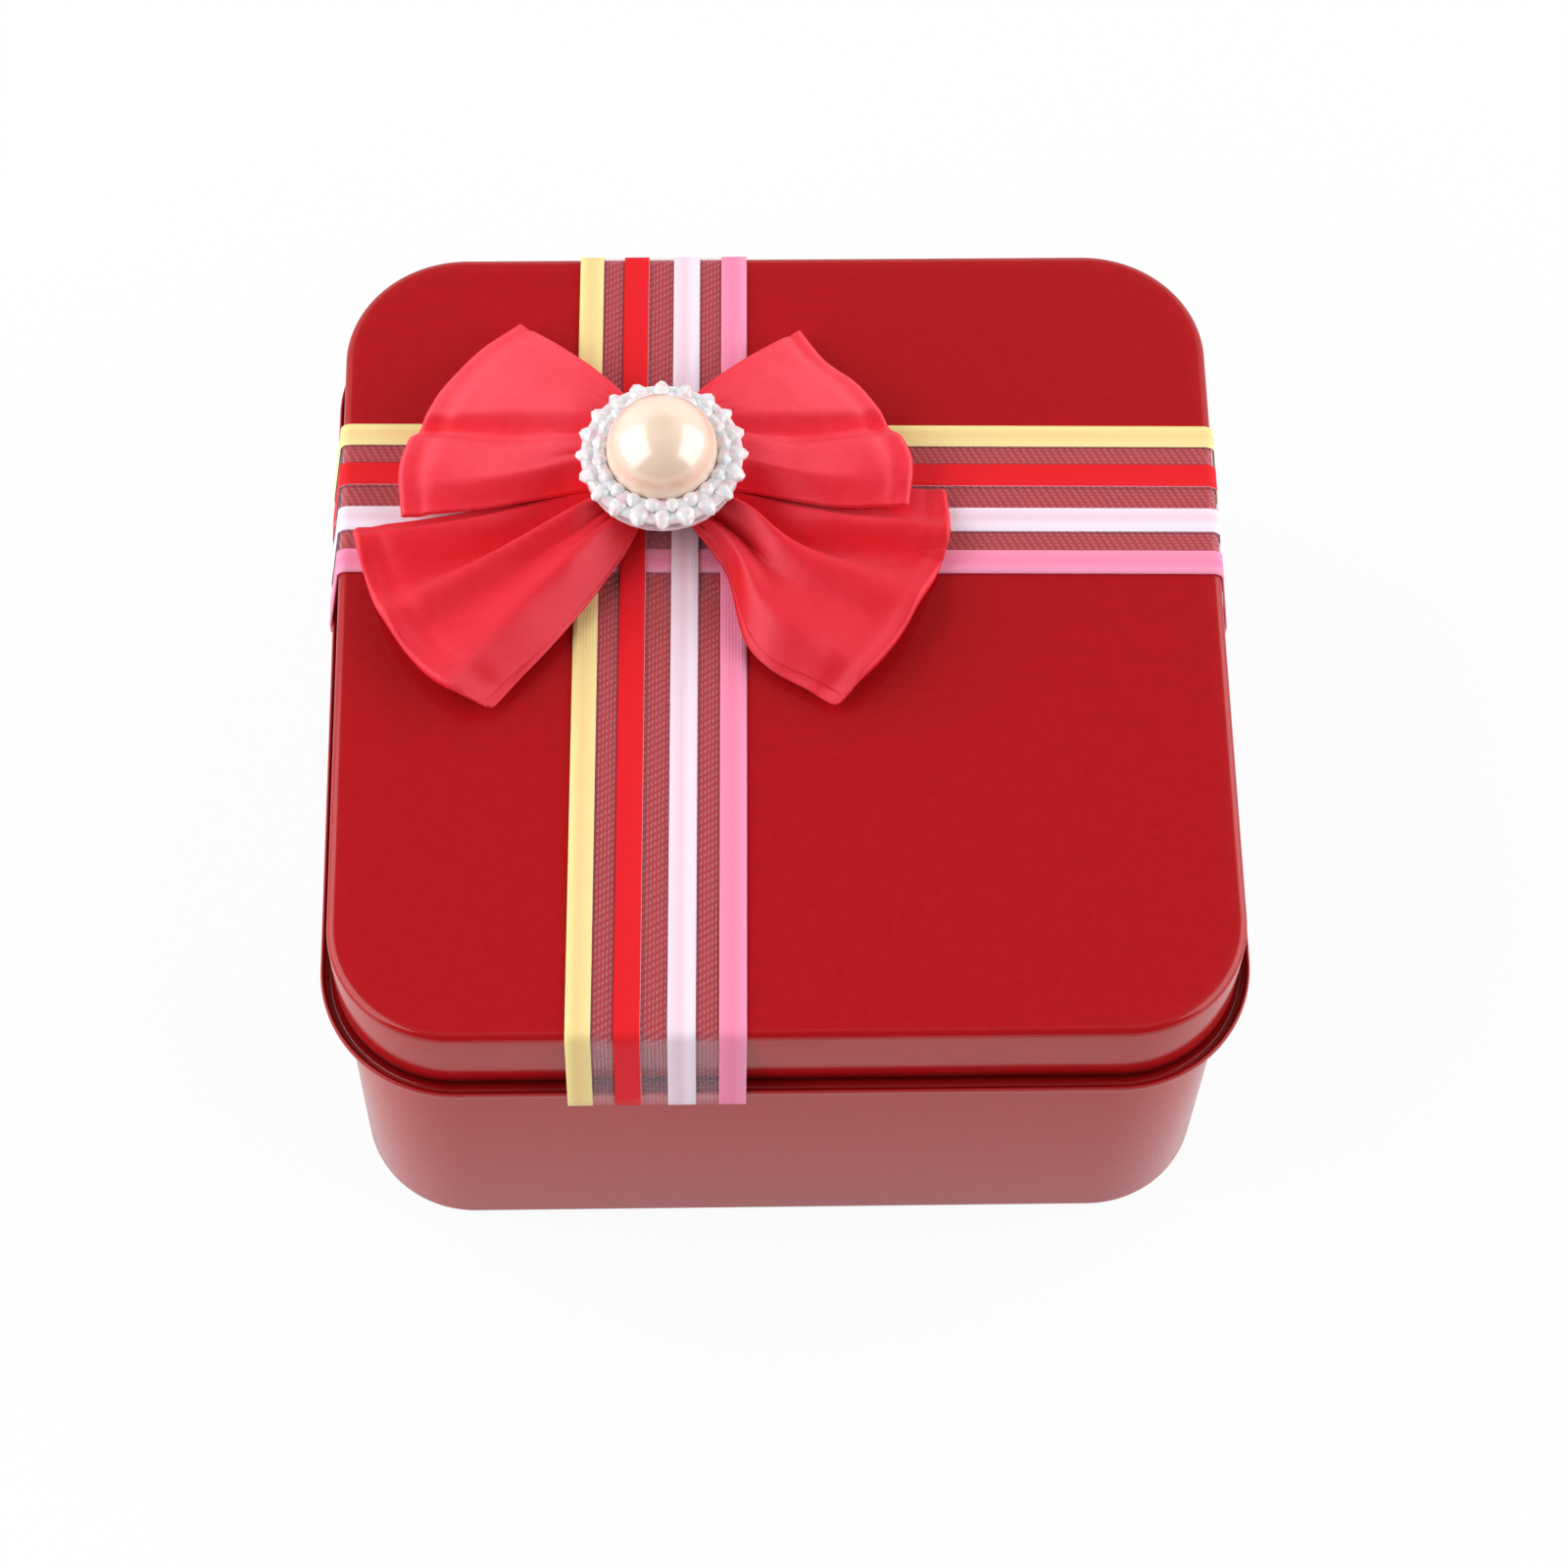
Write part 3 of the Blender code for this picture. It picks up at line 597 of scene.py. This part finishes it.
def press_lid(lacquer):
    """Flat panel, small edge radius, straight skirt and a curl turned outwards, open at its top."""
    bend = LID_EDGE_RADIUS - TINPLATE / 2
    roll = (CURL_DIAMETER - TINPLATE) / 2
    panel = LID_TOP - TINPLATE / 2
    middle = LID_BOTTOM + CURL_DIAMETER / 2
    section = arc((-bend, panel - bend), bend, math.pi / 2, -math.pi / 2, EDGE_STEPS)
    # Points down the skirt through the painted groove shade
    groove_shade = [(GROOVE_SHADE_RISE + GROOVE_SHADE_REACH) * step / GROOVE_SHADE_STEPS for step in range(GROOVE_SHADE_STEPS, 0, -1)]
    section += [(0, middle + height) for height in groove_shade]
    section += arc((roll, middle), roll, math.pi, CURL_TURN, ROLL_STEPS)
    side = LID_SIDE - TINPLATE
    corner = LID_CORNER_RADIUS - TINPLATE / 2
    lid = press_tin("slip_lid", section, side, corner, middle + GROOVE_SHADE_RISE, lacquer)
    fit_in(lid, "lid", "red_lacquered_tinplate", "lid_tin")


def press_base(lacquer):
    """Recessed bottom panel, flat foot, rounded lower edge, tapered wall, rim rolled inwards."""
    step = PANEL_RECESS / 2
    bend = BASE_EDGE_RADIUS - TINPLATE / 2
    roll = (RIM_ROLL_DIAMETER - TINPLATE) / 2
    foot = TINPLATE / 2
    foot_outer = -BASE_TAPER - bend
    foot_inner = foot_outer - FOOT_WIDTH
    section = arc((foot_inner - 2 * step, foot + step), step, math.pi / 2, -math.pi / 2, EDGE_STEPS)
    section += arc((foot_inner, foot + step), step, math.pi, math.pi / 2, EDGE_STEPS)[1:]
    section += arc((foot_outer, foot + bend), bend, -math.pi / 2, math.pi / 2, EDGE_STEPS)
    section += arc((-roll, BASE_HIGH.z - RIM_ROLL_DIAMETER / 2), roll, 0, RIM_ROLL_TURN, ROLL_STEPS)
    side = BASE_SIDE - TINPLATE
    corner = BASE_CORNER_RADIUS - TINPLATE / 2
    base = press_tin("drawn_base", section, side, corner, -GROOVE_SHADE_REACH, lacquer)
    fit_in(base, "base", "red_lacquered_tinplate", "base_tin")


def ribbon_half_path(crossing_start, rise):
    """Half of a ribbon's middle line, as (along, up), from the crossing down to the cut end."""
    half = LID_SIDE / 2
    lift = CLEAR + SATIN_STRIPE_THICKNESS / 2
    points = []
    for step in range(RAMP_STEPS + 1):
        share = step / RAMP_STEPS
        ease = 1 - share * share * (3 - 2 * share)
        points.append((crossing_start + CROSSING_RAMP * share, LID_TOP + lift + rise * ease))
    corner = (half - LID_EDGE_RADIUS, LID_TOP - LID_EDGE_RADIUS)
    points += arc(corner, LID_EDGE_RADIUS + lift, math.pi / 2, -math.pi / 2, RIBBON_EDGE_STEPS)
    points.append((half + CURL_OUTSET + lift, LID_BOTTOM + CURL_DIAMETER / 2))
    points.append((half + CURL_OUTSET + lift, RIBBON_END))
    return points


def stripe_columns():
    """Places across the ribbon, in metres from its yellow edge, each with its thickness share."""
    columns = []
    for number, (start, end) in enumerate(zip(STRIPE_EDGES, STRIPE_EDGES[1:])):
        low = start + (STRIPE_RAMP if number else 0)
        high = end - (STRIPE_RAMP if end < STRIPE_EDGES[-1] else 0)
        for step in range(STRIPE_COLUMNS + 1):
            place = low + (high - low) * step / STRIPE_COLUMNS
            columns.append((place * MM, SHEER_THICKNESS_SHARE if number % 2 else 1))
    return columns


def lay_ribbon(name, node, along, axis, direction, middle, slant, crossing, rise, cloth):
    """A ribbon over the lid and down two sides of its skirt, cut off below the curl.

    The yellow edge is first along direction. The middle line shifts along axis by slant over
    the lid's side, and it rises where it crosses the other ribbon, whose middle is at crossing.
    """
    flat = (RIBBON_WIDTH + abs(LENGTHWISE_SLANT) + abs(CROSSWISE_SLANT)) / 2
    back = [(-s, up) for s, up in ribbon_half_path(flat - crossing, rise)]
    path = list(reversed(back)) + ribbon_half_path(flat + crossing, rise)
    columns = stripe_columns()
    shape = bmesh.new()
    uv = shape.loops.layers.uv.new("cloth")
    rows = []
    run = 0
    for index, (distance, up) in enumerate(path):
        if index:
            run += math.dist(path[index - 1], path[index])
        line = middle + slant * distance / LID_SIDE
        row = []
        for place, _ in columns:
            point = along * distance + axis * line + direction * (place - RIBBON_WIDTH / 2)
            row.append((shape.verts.new(point + Vector((0, 0, up))), (place, run)))
        rows.append(row)
    for row, after in zip(rows, rows[1:]):
        for index in range(len(columns) - 1):
            corners = [row[index], row[index + 1], after[index + 1], after[index]]
            face = shape.faces.new([vert for vert, _ in corners])
            for loop, (_, place) in zip(face.loops, corners):
                loop[uv].uv = place
    shape.verts.index_update()
    shares = {vert.index: share for row in rows for (vert, _), (_, share) in zip(row, columns)}
    piece = finished(name, mesh_of(name, shape), cloth)
    group = piece.vertex_groups.new(name="satin")
    for index, share in shares.items():
        group.add([index], share, "REPLACE")
    solid = thicken(piece, SATIN_STRIPE_THICKNESS)
    solid.vertex_group = "satin"
    fit_in(piece, "lid", "striped_ribbon", node)


def through(values, share):
    """Smooth curve through evenly spaced values, read at a share of the way along them."""
    last = len(values) - 1
    index = min(int(share * last), last - 1)
    t = share * last - index
    start, end = values[index], values[index + 1]
    before = values[index - 1] if index else start * 2 - end
    after = values[index + 2] if index + 2 <= last else end * 2 - start
    leave = (end - before) / 2
    arrive = (after - start) / 2
    blend = start * (2 * t ** 3 - 3 * t ** 2 + 1) + end * (3 * t ** 2 - 2 * t ** 3)
    return blend + leave * (t ** 3 - 2 * t ** 2 + t) + arrive * (t ** 3 - t ** 2)


class Loop:
    """One side of a bow: a flattened loop of satin from the pinch out to its bend."""

    def __init__(self, edges, bend, twist, rest, folds):
        self.edges = [[Vector(point) * MM for point in edge] for edge in edges]
        self.bend = [Vector(point) * MM for point in bend]
        self.twist = twist
        self.rest = rest
        self.folds = [[Vector(station) for station in line] for line in folds]

    def top(self, along, across):
        """Height of the top layer over the ribbons: round ridges, with sharp creases between."""
        lines = [through(line, along) for line in self.folds]
        for low, high in zip(lines, lines[1:]):
            if across <= high.x:
                break
        share = max(0, min(1, (across - low.x) / (high.x - low.x)))
        if low.y > high.y:
            low, high, share = high, low, 1 - share
        power = PINCH_CREASE_POWER + (BEND_CREASE_POWER - PINCH_CREASE_POWER) * along
        height = low.y + (high.y - low.y) * math.sin(math.pi / 2 * share) ** power
        lip = math.cos(2 * math.pi * min(1, (1 - along) / BEND_LIP_REACH_SHARE))
        gather = max(0, 1 - along / GATHER_REACH_SHARE)
        pleat = self.pleat(along, across) * GATHER_PLEAT * gather
        return height * MM + BEND_LIP * (lip - 1) / 2 + pleat

    def pleat(self, along, across):
        """Gathers with round backs and sharp creases between them, which wander off sideways."""
        wave = GATHER_WANDER_WAVE * across + GATHER_WANDER_START * self.bend[0].x
        wander = GATHER_WANDER * along * math.sin(wave)
        return abs(math.cos(math.pi * GATHER_PLEATS * (across + wander))) - PLEAT_LOWERING

    def layers(self, along, across):
        """Heights of the top and the bottom layer over the ribbons."""
        top = self.top(along, across)
        rest = self.rest[0] + (self.rest[1] - self.rest[0]) * across ** 2
        middle = math.sin(math.pi * along)
        rest += (self.pleat(along, across) + PLEAT_LOWERING) * UNDER_PUCKER * middle
        opened = PARTING_SHARE + MIDDLE_PARTING_SHARE * middle
        opened *= min(1, along / PARTING_REACH_SHARE)
        parting = max(LEAST_PARTING, PINCH_PARTING + (top - rest) * opened)
        return top, max(top - parting, min(rest, top - LEAST_PARTING))

    def point(self, along, across, turn):
        """Middle of the satin: along 0 to 1 from pinch to bend, across 0 to 1 from back to front.

        turn is the angle round the bend: a quarter turn on the top layer, minus that below.
        """
        line = [back.lerp(front, across) for back, front in self.edges]
        edge = through(self.bend, across)
        outward = (edge - line[-1]).normalized()
        plan = through(line + [edge - outward * BEND_RADIUS], along)
        plan += outward * BEND_RADIUS * math.cos(turn)
        plan.rotate(Matrix.Rotation(self.twist * (1 - math.sin(turn)) / 2 * along, 2))
        top, bottom = self.layers(along, across)
        height = (top + bottom) / 2 + (top - bottom) / 2 * math.sin(turn)
        wrinkle = noise.noise(Vector((plan.x, plan.y, 0)) / WRINKLE_SPACING) * WRINKLE
        wrinkle *= min(1, 2 * along)
        return BOW_CENTRE + Vector((plan.x, plan.y, RIBBONS_TOP + height + wrinkle))

    def layer(self, steps, quarter):
        """Rows of the top layer for quarter 1, of the bottom one for -1, as (loop, along, turn)."""
        return [(self, step / ALONG_STEPS, quarter * math.pi / 2) for step in steps]

    def bend_rows(self, quarter):
        """Rows round the bend, from the top layer down for quarter 1 and up for -1."""
        shares = [1 - 2 * step / BEND_STEPS for step in range(1, BEND_STEPS)]
        return [(self, 1, quarter * math.pi / 2 * share) for share in shares]


def fold_bow(name, left, right, node, cut, cloth):
    """A band of satin once round both loops: over the top, round a bend, and back below."""
    steps = range(ALONG_STEPS + 1)
    order = left.layer(reversed(steps), 1) + right.layer(steps[1:], 1)
    order += right.bend_rows(1)
    order += right.layer(reversed(steps), -1) + left.layer(steps[1:], -1)
    order += left.bend_rows(-1)
    shares = [step / ACROSS_STEPS for step in range(ACROSS_STEPS + 1)]
    shape = bmesh.new()
    uv = shape.loops.layers.uv.new("cloth")
    rows = [
        [shape.verts.new(side.point(along, share, turn)) for share in shares]
        for side, along, turn in order
    ]
    for number, row in enumerate(rows):
        after = rows[(number + 1) % len(rows)]
        for index in range(ACROSS_STEPS):
            face = shape.faces.new((row[index], row[index + 1], after[index + 1], after[index]))
            for corner, (step, line) in zip(face.loops, [(0, 0), (1, 0), (1, 1), (0, 1)]):
                width = shares[index + step] * cut[0]
                length = (number + line) / len(rows) * cut[1]
                corner[uv].uv = (width, length)
    piece = finished(name, mesh_of(name, shape), cloth)
    thicken(piece, SATIN).use_even_offset = False
    fit_in(piece, "lid", "red_satin", node)


def wind_binding(thread):
    """Thread wound side by side round the pinched middle of both bands."""
    front, back = BINDING_FRONT_BACK
    low, high = BINDING_LOW_HIGH
    radius = BINDING_CORNER_RADIUS
    loop = []
    for corner, (y, z) in enumerate([(back, high), (front, high), (front, low), (back, low)]):
        inset_y = y - math.copysign(radius, y - (front + back) / 2)
        inset_z = z - math.copysign(radius, z - (low + high) / 2)
        quarter = corner * math.pi / 2
        loop += arc((inset_y, inset_z), radius, quarter, math.pi / 2, BINDING_CORNER_STEPS)
    data = bpy.data.curves.new("thread_binding", "CURVE")
    data.dimensions = "3D"
    data.bevel_depth = THREAD / 2
    data.bevel_resolution = 3
    data.use_fill_caps = True
    line = data.splines.new("POLY")
    count = len(loop) * THREAD_TURNS
    line.points.add(count - 1)
    for index, point in enumerate(line.points):
        y, z = loop[index % len(loop)]
        x = (index / count - 0.5) * THREAD_TURNS * THREAD
        point.co = (*(BOW_CENTRE + Vector((x, y, RIBBONS_TOP + z))), 1)
    data.materials.append(thread)
    binding = bpy.data.objects.new("thread_binding", data)
    bpy.context.scene.collection.objects.link(binding)
    fit_in(binding, "lid", "red_thread", "bow_thread_binding")


def turn_pearl(coat):
    """A ball with a flat back and a small radius round it."""
    radius = PEARL_DIAMETER / 2
    middle = PEARL_HIGH.z - radius
    edge = PEARL_EDGE_RADIUS
    drop = middle - PEARL_LOW.z - edge
    sweep = math.asin(drop / (radius - edge))
    profile = arc((0, middle), radius, math.pi / 2, -math.pi / 2 - sweep, PEARL_STEPS)
    corner = ((radius - edge) * math.cos(sweep), PEARL_LOW.z + edge)
    profile += arc(corner, edge, -sweep, sweep - math.pi / 2, PEARL_EDGE_STEPS)[1:]
    profile.append((0, PEARL_LOW.z))
    profile[0] = (0, profile[0][1])
    shape = bmesh.new()
    line = [shape.verts.new((out, 0, up)) for out, up in profile]
    for pair in zip(line, line[1:]):
        shape.edges.new(pair)
    mesh = bpy.data.meshes.new("pearl")
    shape.to_mesh(mesh)
    shape.free()
    pearl = finished("pearl", mesh, coat)
    pearl.location = BUTTON_CENTRE
    turn = pearl.modifiers.new("turn", "SCREW")
    turn.axis = "Z"
    turn.steps = PEARL_TURN_STEPS
    turn.render_steps = PEARL_TURN_STEPS
    turn.use_merge_vertices = True
    turn.merge_threshold = PEARL_MERGE
    turn.use_smooth_shade = True
    fit_in(pearl, "lid", "ivory_pearl", "pearl_cabochon")


def mould_beads(name, radius, bead, tube, turn_share, node, acrylic):
    """A ring of faceted beads, each tapered outwards like a drop, moulded on a thin hoop."""
    low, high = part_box(node)
    middle = BUTTON_CENTRE + Vector((0, 0, (low.z + high.z) / 2))
    shape = bmesh.new()
    for number in range(BEAD_COUNT):
        angle = (number + turn_share) / BEAD_COUNT * 2 * math.pi
        place = Matrix.Translation(middle) @ Matrix.Rotation(angle, 4, "Z")
        size = bead * (1 + BEAD_WOBBLE * math.sin(number * BEAD_WOBBLE_STEP))
        ball = bmesh.ops.create_uvsphere(
            shape, u_segments=BEAD_FACETS, v_segments=BEAD_ROWS, radius=0.5,
        )
        for vert in ball["verts"]:
            out, side, up = vert.co
            slim = 1 - BEAD_TAPER * max(0, 2 * out)
            reach = radius + out * bead.x
            vert.co = place @ Vector((reach, side * size.y * slim, up * size.z * slim))
    hoop = []
    section = arc((radius, 0), tube / 2, 0, 2 * math.pi, HOOP_SIDES)[:-1]
    steps = BEAD_COUNT * HOOP_STEPS_PER_BEAD
    for step in range(steps):
        angle = step / steps * 2 * math.pi
        outward = Vector((math.cos(angle), math.sin(angle), 0))
        places = [middle + outward * out + Vector((0, 0, up / 2)) for out, up in section]
        hoop.append([shape.verts.new(place) for place in places])
    for ring, after in zip(hoop, hoop[1:] + hoop[:1]):
        for index in range(len(ring)):
            beside = (index + 1) % len(ring)
            shape.faces.new((ring[index], after[index], after[beside], ring[beside]))
    piece = finished(name, mesh_of(name, shape), acrylic)
    piece.data.shade_flat()
    fit_in(piece, "lid", "pearly_plastic", node)


def finish_node(node, material):
    """A carried-over piece takes its finish."""
    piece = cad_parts[node]
    piece.data.materials.clear()
    piece.data.materials.append(material)


def place_camera():
    """A camera where the photograph's was fitted to be."""
    back = Vector((
        math.sin(CAMERA_AZIMUTH) * math.cos(CAMERA_ELEVATION),
        -math.cos(CAMERA_AZIMUTH) * math.cos(CAMERA_ELEVATION),
        math.sin(CAMERA_ELEVATION),
    ))
    right = (-back).cross(Vector((0, 0, 1))).normalized()
    up = back.cross(right)
    level = Matrix((right, up, back)).transposed()
    tilt = Matrix.Rotation(CAMERA_ROLL, 3, "Z")
    data = bpy.data.cameras.new("camera")
    data.lens = CAMERA_LENS
    data.sensor_width = CAMERA_SENSOR
    camera = bpy.data.objects.new("camera", data)
    bpy.context.scene.collection.objects.link(camera)
    place = Matrix.Translation(CAMERA_TARGET + back * CAMERA_DISTANCE)
    camera.matrix_world = place @ (level @ tilt).to_4x4()
    bpy.context.scene.camera = camera


def hang_softbox(name, direction, half_width, half_height):
    """A glowing panel that faces the object."""
    direction = direction.normalized()
    side = Vector((0, 0, 1)).cross(direction).normalized()
    up = direction.cross(side)
    shape = bmesh.new()
    centre = direction * SOFTBOX_DISTANCE
    shape.faces.new([
        shape.verts.new(centre + side * x * half_width + up * y * half_height)
        for x, y in [(-1, -1), (1, -1), (1, 1), (-1, 1)]
    ])
    glow = bpy.data.materials.new(name)
    glow.use_nodes = True
    glow.node_tree.nodes.clear()
    light = add_node(glow.node_tree, "Emission", {"Strength": SOFTBOX_STRENGTH})
    add_node(glow.node_tree, "OutputMaterial", links={"Surface": light.outputs["Emission"]})
    panel = finished(name, mesh_of(name, shape), glow)
    panel.visible_camera = False


def light_sky():
    """A sky brighter at the back, with a dark flag that the lid mirrors, and white to the eye."""
    world = bpy.data.worlds.new("sky")
    bpy.context.scene.world = world
    world.use_nodes = True
    tree = world.node_tree
    place = add_node(tree, "TexCoord").outputs["Generated"]
    split = add_node(tree, "SeparateXYZ", links={"Vector": place})
    towards = add_node(tree, "VectorMath", {1: FLAG}, {0: place}, operation="DOT_PRODUCT")
    flag = add_node(
        tree, "MapRange",
        {"From Min": FLAG_OUTER, "From Max": FLAG_INNER, "To Min": 1, "To Max": FLAG_SHARE},
        {"Value": towards.outputs["Value"]},
    )
    depth = add_node(
        tree, "MapRange",
        {
            "From Min": SKY_FRONT, "From Max": SKY_BACK,
            "To Min": FRONT_SKY_SHARE, "To Max": BACK_SKY_SHARE,
        },
        {"Value": split.outputs["Y"]},
    )
    share = add_node(
        tree, "Math", links={0: depth.outputs["Result"], 1: flag.outputs["Result"]},
        operation="MULTIPLY",
    )
    strength = add_node(
        tree, "Math", {1: SKY_STRENGTH}, {0: share.outputs["Value"]}, operation="MULTIPLY",
    )
    sky = tree.nodes["Background"]
    sky.inputs["Color"].default_value = (1, 1, 1, 1)
    tree.links.new(strength.outputs["Value"], sky.inputs["Strength"])
    seen = add_node(tree, "Background", {"Color": (1, 1, 1, 1)})
    ray = add_node(tree, "LightPath")
    mix = add_node(tree, "MixShader", links={
        0: ray.outputs["Is Camera Ray"],
        1: sky.outputs["Background"],
        2: seen.outputs["Background"],
    })
    tree.links.new(mix.outputs["Shader"], tree.nodes["World Output"].inputs["Surface"])


def lay_floor():
    """A pale floor that is nearly white to the eye and in reflections, and keeps the shadow."""
    shape = bmesh.new()
    bmesh.ops.create_grid(shape, x_segments=1, y_segments=1, size=FLOOR_SIDE / 2)
    material, tree, shader = new_finish(
        "pale_floor", {"Base Color": linear("F7F7F7"), "Roughness": 0.9},
    )
    ray = add_node(tree, "LightPath")
    seen = add_node(
        tree, "Math", links={0: ray.outputs["Is Camera Ray"], 1: ray.outputs["Is Glossy Ray"]},
        operation="MAXIMUM",
    )
    seen = add_node(
        tree, "Math", links={0: seen.outputs["Value"], 1: ray.outputs["Is Transmission Ray"]},
        operation="MAXIMUM",
    )
    share = add_node(
        tree, "Math", {1: FLOOR_WHITE_SHARE}, {0: seen.outputs["Value"]}, operation="MULTIPLY",
    )
    strength = add_node(
        tree, "Math", {1: FLOOR_MIRRORED_DROP, 2: 1}, {0: ray.outputs["Is Glossy Ray"]},
        operation="MULTIPLY_ADD",
    )
    white = add_node(tree, "Emission", links={"Strength": strength.outputs["Value"]})
    mix = add_node(
        tree, "MixShader",
        links={0: share.outputs["Value"], 1: shader.outputs["BSDF"], 2: white.outputs["Emission"]},
    )
    tree.links.new(mix.outputs["Shader"], tree.nodes["Material Output"].inputs["Surface"])
    floor = finished("floor", mesh_of("floor", shape), material)


def main():
    lacquer = red_lacquer()
    press_base(lacquer)
    press_lid(lacquer)

    x, y = Vector((1, 0, 0)), Vector((0, 1, 0))
    striped = striped_ribbon_cloth()
    lay_ribbon(
        "side_to_side_ribbon", "ribbon_crosswise",
        x, y, -y, CROSSWISE_Y, CROSSWISE_SLANT, LENGTHWISE_X, 0, striped,
    )
    lay_ribbon(
        "front_to_back_ribbon", "ribbon_lengthwise",
        y, x, x, LENGTHWISE_X, LENGTHWISE_SLANT, CROSSWISE_Y, CROSSING_RISE, striped,
    )

    # Painted light and shade: one satin, painted lighter on the upper band and deeper on the lower
    painted_lit_upper_satin = red_satin_cloth("red_polyester_satin", *UPPER_SATIN_PAINTED_LIT_REDS)
    painted_shade_lower_satin = red_satin_cloth("painted_shade_red_polyester_satin", *LOWER_SATIN_PAINTED_SHADE_REDS)
    fold_bow(
        "lower_bow",
        Loop(LOWER_LEFT_EDGES, LOWER_LEFT_BEND, LOWER_LEFT_TWIST, LOWER_REST, LOWER_LEFT_FOLDS),
        Loop(LOWER_RIGHT_EDGES, LOWER_RIGHT_BEND, LOWER_RIGHT_TWIST, LOWER_REST, LOWER_RIGHT_FOLDS),
        "bow_lower_loops", LOWER_RIBBON_CUT, painted_shade_lower_satin,
    )
    fold_bow(
        "upper_bow",
        Loop(UPPER_LEFT_EDGES, UPPER_LEFT_BEND, UPPER_TWIST, UPPER_REST, UPPER_LEFT_FOLDS),
        Loop(UPPER_RIGHT_EDGES, UPPER_RIGHT_BEND, UPPER_TWIST, UPPER_REST, UPPER_RIGHT_FOLDS),
        "bow_upper_loops", UPPER_RIBBON_CUT, painted_lit_upper_satin,
    )

    acrylic = coated_acrylic()
    mould_beads(
        "outer_beads", OUTER_CIRCLE_RADIUS, OUTER_BEAD, OUTER_HOOP, 0, "outer_bead_ring", acrylic,
    )
    mould_beads(
        "inner_beads", INNER_CIRCLE_RADIUS, INNER_BEAD, INNER_HOOP, 0.5, "inner_bead_ring", acrylic,
    )
    turn_pearl(pearl_coat())
    glue = hot_melt_glue()
    finish_node("bow_glue_pad", glue)
    finish_node("setting_glue_pad", glue)
    wind_binding(sewing_thread())
    finish_node("setting_plate", acrylic)

    hang_softbox("left_softbox", *LEFT_SOFTBOX)
    hang_softbox("right_softbox", *RIGHT_SOFTBOX)
    light_sky()
    lay_floor()
    place_camera()
    bpy.context.scene.view_settings.view_transform = "Standard"


main()
